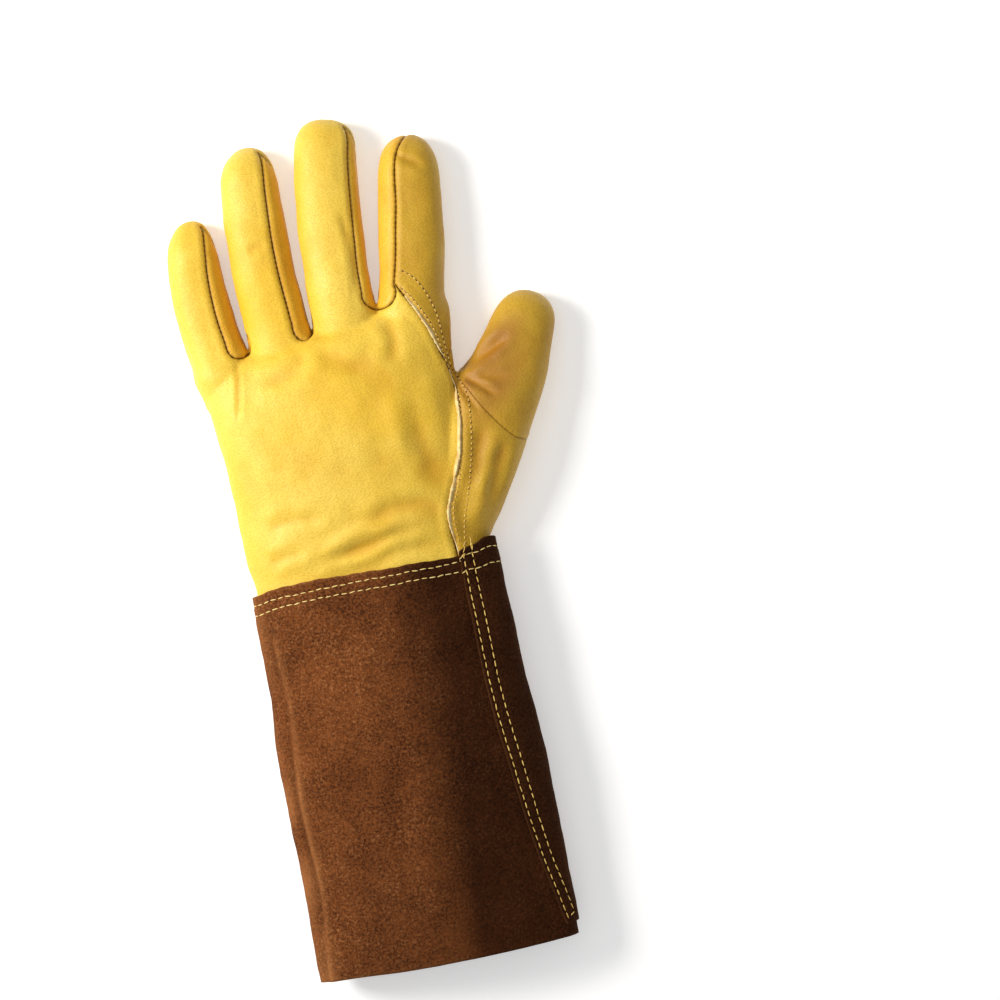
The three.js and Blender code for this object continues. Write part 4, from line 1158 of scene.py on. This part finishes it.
SUEDE = brown_suede(
    "brown_suede", (0.03, 0.0078, 0.003), (0.27, 0.083, 0.022), (0.5, 0.2, 0.065))
middles = plain_skin[skin_faces].mean(axis=1)
palm_side = (middles[:, 2] < 18) & (middles[:, 1] < 112) & (middles[:, 1] > 55)
_, points, faces = parted(plain_skin, skin_faces[palm_side])
points, faces = cut_along(points, faces, patch_field)
_, patch_points, patch_faces = parted(points, faces[patch_field(points[faces].mean(axis=1)) > 0])
lift = PATCH_LIFT + 0.12 * swell(patch_points, 21, 9)
patch_points = patch_points + normals_of(patch_points, patch_faces) * lift[:, None]
MIDDLE_OF_PATCH = np.array([-2.0, 0.715 * PALM_LENGTH])
patch_row = evenly(patch_edge, 0.8)
patch_row = patch_row[patch_row[:, 0] > -53]
patch_row = MIDDLE_OF_PATCH + (patch_row - MIDDLE_OF_PATCH) * np.array([0.965, 0.9])
sewn = bell(nearest_on(patch_row, patch_points[:, :2])[0], 0.9)
patch_points[:, 2] = np.maximum(patch_points[:, 2], PATCH_WALL + 0.02 + 0.5 * sewn)
edges, sides = edges_of(patch_faces)
rim = edges[np.bincount(sides.ravel(), minlength=len(edges)) == 1]
rubbed = bell(away_from(patch_points, patch_faces, rim, 9)[0], 0.9)
rubbed = rubbed + 0.25 * np.clip(swell(patch_points, 22, 14), 0, 1)
patch = new_piece("knuckle_patch_suede", patch_points, patch_faces, SUEDE,
                  "knuckle_patch", {"rubbed": rubbed})
thicken(patch, PATCH_WALL, 1.0)

# The wrist tab: a flap of golden leather sewn to the palm, which hangs over the top of the cuff.
# Its lower corners are rounded, and it is stitched near its edge.
TAB_WIDTH = 84
TAB_RISE = 11
TAB_DROP = 26
TAB_CORNER = 10
TAB_WALL = 1.25
TAB_ROWS = [
    [(-40, 8.6), (0, 8.4), (40, 7.6)],
    [(-40, 5.2), (0, 5.6), (40, 6.4)],
    [(39.3, 5), (39.3, -18)],
    [(-39.3, 5), (-39.3, -18)],
    [(-33, -23.6), (33, -23.6)],
]
tab_paths = [evenly(np.array(row, float), 1.0) for row in TAB_ROWS]


def grid_faces(rows, columns):
    """Faces over a grid of points."""
    return [(a, a + 1, a + columns + 1, a + columns)
            for r in range(rows - 1) for a in range(r * columns, (r + 1) * columns - 1)]


def tab_grid():
    """A grid over the tab whose lower corners are drawn in to the rounding."""
    ys = np.linspace(-TAB_DROP, TAB_RISE, TAB_DROP + TAB_RISE + 1)
    low = np.clip((TAB_CORNER - (ys + TAB_DROP)) / TAB_CORNER, 0, 1)
    half = TAB_WIDTH / 2 - TAB_CORNER * (1 - np.sqrt(1 - low * low))
    x = np.linspace(-1, 1, TAB_WIDTH + 1)[None, :] * half[:, None]
    y = np.repeat(ys[:, None], TAB_WIDTH + 1, axis=1)
    return np.stack([x, y, np.zeros(x.shape)], axis=-1)


points = tab_grid()
tab_faces = grid_faces(*points.shape[:2])
tab_points = points.reshape(-1, 3)
sewn = np.max([bell(nearest_on(path, tab_points[:, :2])[0], 1.1) for path in tab_paths], axis=0)
tab_points[:, 2] = PATCH_WALL + 0.18 * (1 + swell(tab_points, 31, 30)) + 0.4 * sewn
tan_and_painted_shade = 0.15 * np.clip(swell(tab_points, 32, 20), 0, 1)
# Painted shade along the tab's rows of stitches, where they draw it down, and a faint random
# browner tone.
tab = new_piece("wrist_tab_leather", tab_points, tab_faces, GOLD, "wrist_tab",
                {"painted_crease_shade": 0.4 * sewn, "tan_and_painted_shade": tan_and_painted_shade})
thicken(tab, TAB_WALL)

# The cuff: one piece of brown suede, wrapped round and lapped on the thumb side of the back, where
# two rows of stitches close it. Its raw upper edge lies over the leather of the hand.
SUEDE_WALL = 1.5
CUFF_LENGTH = 187
CUFF_TOP_WIDTH = 119
CUFF_HEM_WIDTH = 126
CUFF_HEIGHT = 36
CUFF_LAP = 15
LAP_STEP = 1.8
CUFF_SECTIONS = rows_of(
    "at width top lap",
    (0.0, 0.0, 1.0, 0.71), (0.15, 0.12, 1.0, 0.7), (0.35, 0.4, 1.03, 0.7),
    (0.55, 0.72, 1.05, 0.74), (0.75, 0.94, 1.03, 0.8), (0.9, 1.0, 1.0, 0.88),
    (1.0, 0.9, 0.97, 0.93),
)
# How far the raw upper edge stands past the wrist line. run: millimetres round from the lap's edge.
TOP_EDGE = rows_of(
    "at rise",
    (0, 3.2), (9, 5.4), (18, 7.4), (32, 4.0), (60, 0.5), (180, 0.0), (205, -0.8), (240, 0.0),
    (275, 1.0), (330, 2.0),
)


def cuff_ring(at, reach, count):
    """Points round one cross-section of the cuff, from the lap's edge, over reach radians."""
    lap_turn = np.arccos(along(CUFF_SECTIONS, "lap", at) ** (FULLNESS / 2))
    flare = (CUFF_HEM_WIDTH - CUFF_TOP_WIDTH) * along(CUFF_SECTIONS, "width", at)
    where = {
        "x": 0.0,
        "y": -CUFF_LENGTH * at,
        "half": (CUFF_TOP_WIDTH + flare) / 2,
        "floor": PALM_FLOOR * (1 - smooth(at, 0.14, 0.3)),
        "top": CUFF_HEIGHT * along(CUFF_SECTIONS, "top", at),
    }
    return ring_of(where, lap_turn - np.linspace(0, reach, count))


def cuff_row(at, runs):
    """One row of the cuff's outer face, at millimetres run round from the lap's edge."""
    ring = cuff_ring(at, 2 * np.pi + 0.9, 3000)
    passed = np.concatenate([[0], np.cumsum(np.linalg.norm(np.diff(ring, axis=0), axis=1))])
    row = np.stack([np.interp(runs, passed, ring[:, k]) for k in range(3)], axis=1)
    ahead = np.gradient(row, axis=0)
    out = np.stack([-ahead[:, 2], np.zeros(len(row)), ahead[:, 0]], axis=1)
    out /= np.linalg.norm(out, axis=1)[:, None]
    lift = LAP_STEP * (1 - smooth(runs, 1.2 * CUFF_LAP, 2.6 * CUFF_LAP))
    return row + out * lift[:, None]


# Distances down from the raw upper edge, and round from the lap's edge: close by the stitches.
BY_EDGE = 14
BY_LAP = 10
NOMINAL_ROUND = 330.0
downs = np.concatenate([np.arange(0, BY_EDGE, 0.5), np.linspace(BY_EDGE, CUFF_LENGTH, 106)])
columns = np.concatenate([np.arange(0, BY_LAP, 0.5), np.linspace(BY_LAP, NOMINAL_ROUND, 246)])
SHARES = np.linspace(0, 1, 60)
EDGE_OVER_BACK = rows_of(
    "at rise",
    (-60, 0.4), (-43, 2.8), (-17, 2.8), (0, 2.0), (27, 1.3), (45, 0.4),
)
# How much shorter the lapped end is at the hem.
LAP_HEM = rows_of(
    "at rise",
    (0, 4.6), (5, 6.3), (14, 6.0), (40, 1.0), (60, 0.0),
)


def cuff_grid():
    """The cuff's outer face before it is loosened: rows down, columns round."""
    base = []
    for at in SHARES:
        around = np.linalg.norm(np.diff(cuff_ring(at, 2 * np.pi, 1500), axis=0), axis=1).sum()
        total = around + CUFF_LAP
        spread = BY_LAP + (columns - BY_LAP) * (total - BY_LAP) / (NOMINAL_ROUND - BY_LAP)
        base.append(cuff_row(at, np.where(columns <= BY_LAP, columns, spread)))
    base = np.array(base)
    first = base[0]
    over_back = along(EDGE_OVER_BACK, "rise", first[:, 0]) * smooth(first[:, 2], 8, 24)
    top = np.where(columns < 60, along(TOP_EDGE, "rise", columns), over_back)
    top = top + 0.25 * np.sin(columns / 5.1) * np.sin(columns / 2.3 + 1)
    hem = -CUFF_LENGTH + along(LAP_HEM, "rise", columns) + 1.2 * smooth(-first[:, 0], 30, 60)
    corner = 1 - np.sqrt(1 - np.clip(1 - columns / 3.0, 0, 1) ** 2)
    hem = hem + 3.0 * corner
    top = top - 1.5 * corner
    y = top[None, :] + (hem - top)[None, :] * (downs / CUFF_LENGTH)[:, None]
    share = np.clip(-y / CUFF_LENGTH, 0, 1)
    grid = np.empty((*y.shape, 3))
    for c in range(len(columns)):
        for k in (0, 2):
            grid[:, c, k] = np.interp(share[:, c], SHARES, base[:, c, k])
    grid[:, :, 1] = y
    return grid


# Rows of stitches on the cuff. at: millimetres round from the lap's edge. down: below the raw edge.
UPPER_ROW = rows_of(
    "at down",
    (0, 2.9), (18, 4.9), (45, 4.0), (190, 4.4), (225, 4.8), (262, 3.7), (300, 3.2), (315, 2.4),
    (330, 2.4),
)
LOWER_ROW = rows_of(
    "at down",
    (0, 10.0), (18, 12.6), (45, 9.0), (190, 9.2), (225, 8.8), (262, 8.1), (300, 7.6), (330, 7.0),
)
LAP_ROWS = (1.9, 6.4)
LAP_ROWS_END = 184
cuff_skin = cuff_grid()
cuff_out = np.cross(np.gradient(cuff_skin, axis=0), np.gradient(cuff_skin, axis=1))
cuff_out = cuff_out / np.linalg.norm(cuff_out, axis=2)[:, :, None]
run_at, down_at = np.meshgrid(columns, downs)
x, y, z = np.moveaxis(cuff_skin, 2, 0)


def cuff_swell(seed, scale):
    return swell(cuff_skin.reshape(-1, 3), seed, scale).reshape(run_at.shape)


pulled = np.zeros(run_at.shape)
for row in (UPPER_ROW, LOWER_ROW):
    pulled += bell(down_at - along(row, "down", run_at), 0.8)
for run in LAP_ROWS:
    pulled += bell(run_at - run, 0.8) * (down_at < LAP_ROWS_END)
loose = 0.9 * cuff_swell(41, 60) + 0.3 * cuff_swell(42, 21) + 0.1 * cuff_swell(43, 8)
worn_fold = bell(x + 60, 6.0) * smooth(z, 4, 14)
worn_fold *= np.clip(0.45 + 0.5 * cuff_swell(44, 26), 0, 1)

# A crease that storage has pressed along the cuff's outer side, with a ridge beside it.
beside = x - (-52 + 0.032 * y + 1.1 * np.sin(y / 13))
creased = smooth(z, 15, 23) * smooth(-y, 10, 34)
creased *= 0.75 + 0.25 * np.sin(y / 19 + 1)
side_ridge = creased * bell(beside - 2.6, 1.5)
side_crease = creased * bell(beside, 1.3)
lift = -0.35 * pulled + loose * (0.35 + 0.65 * smooth(z, 4, 16))
lift = lift - 0.8 * side_crease + 0.7 * side_ridge
UNDER_LAP = NOMINAL_ROUND - CUFF_LAP
lift *= 1 - 0.8 * smooth(run_at, UNDER_LAP - 10, UNDER_LAP)
cuff_skin = cuff_skin + cuff_out * lift[:, :, None]
rest(cuff_skin)
x, y, z = np.moveaxis(cuff_skin, 2, 0)
rubbed = 0.55 * worn_fold + 0.5 * side_ridge + 0.3 * bell(run_at, 0.6) + 0.3 * bell(down_at, 0.7)
rubbed += 0.35 * bell(CUFF_LENGTH - down_at, 1.0)
# Painted shade: the cuff's top is painted darker towards its right side, away from the key light,
# its underside a little darker, the top darker towards the hem except at its left, and the pressed
# crease darker.
on_back = smooth(z, 10, 24)
painted_shade = on_back * smooth(x, -8, 36) + (1 - on_back) * 0.3
painted_shade = painted_shade + 0.3 * smooth(-y, 60, 190) * on_back * smooth(x, -60, -10)
painted_shade = np.clip(painted_shade + 0.4 * side_crease, 0, 0.93)
cuff_faces = [face[::-1] for face in grid_faces(len(downs), len(columns))]
cuff = new_piece("cuff_suede", cuff_skin.reshape(-1, 3), cuff_faces, SUEDE, "cuff",
                 {"rubbed": np.clip(rubbed, 0, 1).ravel(), "painted_shade": painted_shade.ravel()})
thicken(cuff, SUEDE_WALL)


def on_cuff(run, down):
    """The place and outward direction on the cuff, by millimetres round and down."""
    column = np.interp(run, columns, np.arange(len(columns)))
    row = np.interp(down, downs, np.arange(len(downs)))
    c = np.minimum(column.astype(int), len(columns) - 2)
    r = np.minimum(row.astype(int), len(downs) - 2)
    u, v = (column - c)[:, None], (row - r)[:, None]
    place, out = (
        (grid[r, c] * (1 - u) + grid[r, c + 1] * u) * (1 - v)
        + (grid[r + 1, c] * (1 - u) + grid[r + 1, c + 1] * u) * v
        for grid in (cuff_skin, cuff_out)
    )
    return place, out


# The stitches: lockstitches of thread, each a small raised grain that dips at its ends.
# They are set along each row, a little uneven as a machine leaves them on thick leather.
def stitch_tree():
    """A tree that sets stitches along a path, each a long grain a little unlike the others."""
    tree = bpy.data.node_groups.new("stitch_row", "GeometryNodeTree")
    for label, kind in (("Path", "Geometry"), ("Spacing", "Float"), ("Length", "Float"),
                        ("Thickness", "Float"), ("Seed", "Int"), ("Thread", "Material")):
        tree.interface.new_socket(label, in_out="INPUT", socket_type="NodeSocket" + kind)
    tree.interface.new_socket("Stitches", in_out="OUTPUT", socket_type="NodeSocketGeometry")
    given = tree.nodes.new("NodeGroupInput").outputs
    made = tree.nodes.new("NodeGroupOutput")

    def uneven(low, high):
        span = {"Min": low, "Max": high, "Seed": given["Seed"]}
        return node(tree, "FunctionNodeRandomValue", span, data_type="FLOAT_VECTOR")["Value"]

    path = {"Curve": given["Path"], "Length": given["Spacing"]}
    points = node(tree, "GeometryNodeCurveToPoints", path, mode="LENGTH")
    turn = node(tree, "FunctionNodeAlignRotationToVector", {"Vector": points["Tangent"]}, axis="X")
    tilt = uneven((0, -0.05, -0.1), (0, 0.05, 0.1))
    tilt = node(tree, "FunctionNodeEulerToRotation", {"Euler": tilt})["Rotation"]
    turns = {"Rotation": turn["Rotation"], "Rotate By": tilt}
    turned = node(tree, "FunctionNodeRotateRotation", turns, rotation_space="LOCAL")["Rotation"]
    ball = {"Segments": 8, "Rings": 5, "Radius": 0.5}
    grain = node(tree, "GeometryNodeMeshUVSphere", ball)["Mesh"]
    size = {"X": given["Length"], "Y": given["Thickness"], "Z": given["Thickness"]}
    size = node(tree, "ShaderNodeCombineXYZ", size)["Vector"]
    grain = node(tree, "GeometryNodeTransform", {"Geometry": grain, "Scale": size})["Geometry"]
    row = node(tree, "GeometryNodeInstanceOnPoints", {
        "Points": points["Points"], "Instance": grain, "Rotation": turned,
        "Scale": uneven((0.86, 0.85, 0.85), (1.08, 1.1, 1.1)),
    })["Instances"]
    real = node(tree, "GeometryNodeRealizeInstances", {"Geometry": row})["Geometry"]
    thread = {"Geometry": real, "Material": given["Thread"]}
    fed(tree, made, {"Stitches": node(tree, "GeometryNodeSetMaterial", thread)["Geometry"]})
    return tree


STITCH_ROW = stitch_tree()


def thread(name, colour, painted_shade):
    """Waxed polyester thread: two twisted plies, with painted highlight and painted shade in a fine
    random pattern.
    """
    material, tree, shader = new_material(name)
    place = object_place(tree)
    # Painted highlight and shade: paler and darker in small random patches.
    plies = ranged(tree, noise(tree, place, 900.0, 2.0), 0.4, 0.65)
    fed(tree, shader, {
        "Base Color": mixed(tree, plies, colour, painted_shade),
        "Roughness": 0.6,
        "Normal": bumped(tree, noise(tree, place, 2500.0, 2.0), 0.2, 0.0002),
    })
    return material


CREAM_THREAD = thread("cream_thread", (0.96, 0.76, 0.3), (0.82, 0.56, 0.16))
GOLD_THREAD = thread("gold_thread", (0.84, 0.58, 0.15), (0.66, 0.4, 0.08))
# Painted shadow of the needle holes: a dark grain.
NEEDLE_HOLE_SHADOW = thread("needle_hole_shadow", (0.07, 0.03, 0.01), (0.03, 0.014, 0.006))


def path_curve(name, paths):
    """A curve that runs along each path in straight steps."""
    curve = bpy.data.curves.new(name, "CURVE")
    curve.dimensions = "3D"
    for path in paths:
        spline = curve.splines.new("POLY")
        spline.points.add(len(path) - 1)
        places = np.column_stack([in_frame(path), np.ones(len(path))])
        spline.points.foreach_set("co", places.ravel())
    return placed(name, curve)


def made_mesh(guide, name):
    """What a curve object has become, as a plain mesh. The curve object goes."""
    seen = guide.evaluated_get(bpy.context.evaluated_depsgraph_get())
    mesh = bpy.data.meshes.new_from_object(seen)
    bpy.data.objects.remove(guide)
    mesh.name = name
    return mesh


def stitches(name, paths, finish, spacing, length, thickness, seed):
    """Rows of stitches along paths on the leather, clear of the floor."""
    lowest = (-np.inf, -np.inf, 0.75 * thickness)
    guide = path_curve(name + "_path", [np.maximum(path, lowest) for path in paths])
    sewing = guide.modifiers.new("stitches", "NODES")
    sewing.node_group = STITCH_ROW
    given = {"Spacing": spacing / 1000, "Length": length / 1000, "Thickness": thickness / 1000,
             "Seed": seed, "Thread": finish}
    for item in STITCH_ROW.interface.items_tree:
        if item.in_out == "INPUT" and item.name in given:
            sewing[item.identifier] = given[item.name]
    finished(name, made_mesh(guide, name))


STITCH_LIFT = 0.22


def cuff_row_path(table):
    run = np.arange(0.8, UNDER_LAP - 1.0, 0.7)
    place, out = on_cuff(run, along(table, "down", run))
    return place + out * STITCH_LIFT


# The lap's two rows are one: down, across at the hem, and up again.
down = np.arange(2.0, 182.6, 0.8)
first, second = LAP_ROWS
straight = np.ones(len(down))
lap_run = [first * straight, np.linspace(first, second, 7)[1:-1], second * straight]
lap_down = [down + 1.2, np.linspace(183.8, 182.4, 7)[1:-1], down[::-1] - 1.6]
place, out = on_cuff(np.concatenate(lap_run), np.maximum(np.concatenate(lap_down), 0.4))
stitches("cuff_edge_stitches", [cuff_row_path(UPPER_ROW), cuff_row_path(LOWER_ROW)],
         CREAM_THREAD, 3.85, 3.4, 0.58, 1)
stitches("cuff_lap_stitches", [place + out * STITCH_LIFT], GOLD_THREAD, 4.05, 3.4, 0.6, 2)

# Two rows of golden stitches beside the welt on the back hold the seam allowance down. The thread
# is drawn tight into its needle holes, and their shadow is painted as a small dark grain at the end
# of each stitch.
BESIDE_WELT = [
    [(0.70, 1.183), (0.798, 1.14), (0.876, 1.063), (0.922, 0.97), (0.934, 0.856), (0.953, 0.758),
     (1.0, 0.7), (1.035, 0.617), (0.997, 0.456), (0.917, 0.297), (0.812, 0.142), (0.776, 0.03)],
    [(0.673, 1.115), (0.751, 1.061), (0.822, 0.991), (0.88, 0.908), (0.922, 0.786), (0.949, 0.689),
     (0.966, 0.625), (0.917, 0.464), (0.837, 0.306), (0.741, 0.191), (0.735, 0.07)],
]


def back_rows(lift):
    """The two rows, at a height above the leather."""
    rows = []
    for seam in BESIDE_WELT:
        place, out = onto_skin(evenly(curve_of(seam, 80), 0.7), 1)
        rows.append((place + out * lift)[place[:, 1] + out[:, 1] * lift > 2])
    return rows


stitches("back_stitches", back_rows(0.04), GOLD_THREAD, 2.6, 1.7, 0.65, 3)
# Painted shadow in the needle holes, as dark grains along the rows.
stitches("back_needle_hole_shadows", [row[2:] for row in back_rows(0.02)], NEEDLE_HOLE_SHADOW,
         2.6, 1.1, 0.62, 4)

# The suede patch is stitched down two millimetres inside its edge with cream thread, and the
# tab along all its edges with golden thread, in two rows where it is sewn to the palm.
patch_tree = BVHTree.FromPolygons([tuple(p) for p in patch_points], patch_faces.tolist())
place, out = onto_skin(patch_row, -1, patch_tree)
stitches("patch_stitches", [place + out * (PATCH_WALL + 0.05)], CREAM_THREAD, 3.6, 2.7, 0.6, 5)
tab_tree = BVHTree.FromPolygons([tuple(p) for p in tab_points], tab_faces)
tab_rows = [onto_skin(path, -1, tab_tree)[0] - (0, 0, 1.3) for path in tab_paths]
stitches("tab_stitches", tab_rows, GOLD_THREAD, 3.2, 2.4, 0.6, 6)

# Loose thread ends, where the rows of the cuff begin at the top of the lap.
# Each point: millimetres round from the lap's edge, below the raw edge, and off the suede.
THREAD_RADIUS = 0.19
THREAD_ENDS = [
    [(2.0, 1.6, 0.4), (3.0, 0.0, 0.8), (2.6, -1.2, 0.9), (3.4, -2.4, 0.6)],
    [(6.5, 2.2, 0.4), (6.9, 0.4, 0.7), (6.2, -1.2, 0.9), (6.8, -3.0, 0.7), (6.3, -4.2, 0.5)],
    [(0.9, 2.6, 0.5), (2.3, 1.9, 0.9), (2.6, 3.3, 0.8), (1.2, 3.6, 0.7), (1.5, 2.2, 0.9),
     (2.8, 2.6, 0.5)],
]
bends = []
for end in THREAD_ENDS:
    run, down, off = np.array(end).T
    place, out = on_cuff(run, np.maximum(down, 0.0))
    place = place + out * off[:, None] - np.minimum(down, 0)[:, None] * (0, 1, 0)
    steps, knots = np.linspace(0, 1, 14), np.linspace(0, 1, len(place))
    bend = np.stack([np.interp(steps, knots, place[:, k]) for k in range(3)], axis=1)
    drawn_even(bend)
    bends.append(bend)
ends = path_curve("thread_ends_path", bends)
ends.data.bevel_depth = THREAD_RADIUS / 1000
ends.data.bevel_resolution = 2
ends.data.use_fill_caps = True
mesh = made_mesh(ends, "thread_ends")
mesh.materials.clear()
mesh.materials.append(GOLD_THREAD)
finished("thread_ends", mesh)

# The pale studio floor, a key light from the upper left with soft light from above, and the
# camera, which looks straight down on the glove.
FLOOR_REACH = 3
corners = [(x * FLOOR_REACH, y * FLOOR_REACH, 0) for x, y in ((-1, -1), (1, -1), (1, 1), (-1, 1))]
floor = placed("studio_floor", plain_mesh("studio_floor", corners, [(0, 1, 2, 3)]))
paper, tree, shader = new_material("studio_paper")
fed(tree, shader, {"Base Color": (0.93, 0.93, 0.93), "Roughness": 0.9,
                   "Emission Color": (1, 1, 1), "Emission Strength": 0.35})
floor.data.materials.append(paper)


def soft_light(name, place, size, power, tint):
    """A square studio light that faces the glove."""
    lamp = bpy.data.lights.new(name, "AREA")
    lamp.shape = "SQUARE"
    lamp.size = size
    lamp.energy = power
    lamp.color = tint
    light = placed(name, lamp)
    light.location = place
    light.rotation_euler = (-Vector(place)).to_track_quat("-Z", "Y").to_euler()


soft_light("key_light", (-0.66, 0.3, 0.58), 0.36, 9.1, (1.0, 0.98, 0.94))
soft_light("top_light", (-0.2, 0.2, 2.2), 1.6, 7, (1, 1, 1))
world = bpy.data.worlds.new("studio_air")
world.use_nodes = True
fed(world.node_tree, world.node_tree.nodes["Background"], {"Color": (1, 1, 1), "Strength": 0.32})
bpy.context.scene.world = world
bpy.context.scene.view_settings.view_transform = "Standard"

lens = bpy.data.cameras.new("studio_camera")
lens.lens = 100
lens.sensor_width = 36
camera = placed("studio_camera", lens)
camera.location = (0.0462, 0.0077, 1.346)
camera.rotation_euler = (0, 0, math.radians(-11.38))
bpy.context.scene.camera = camera
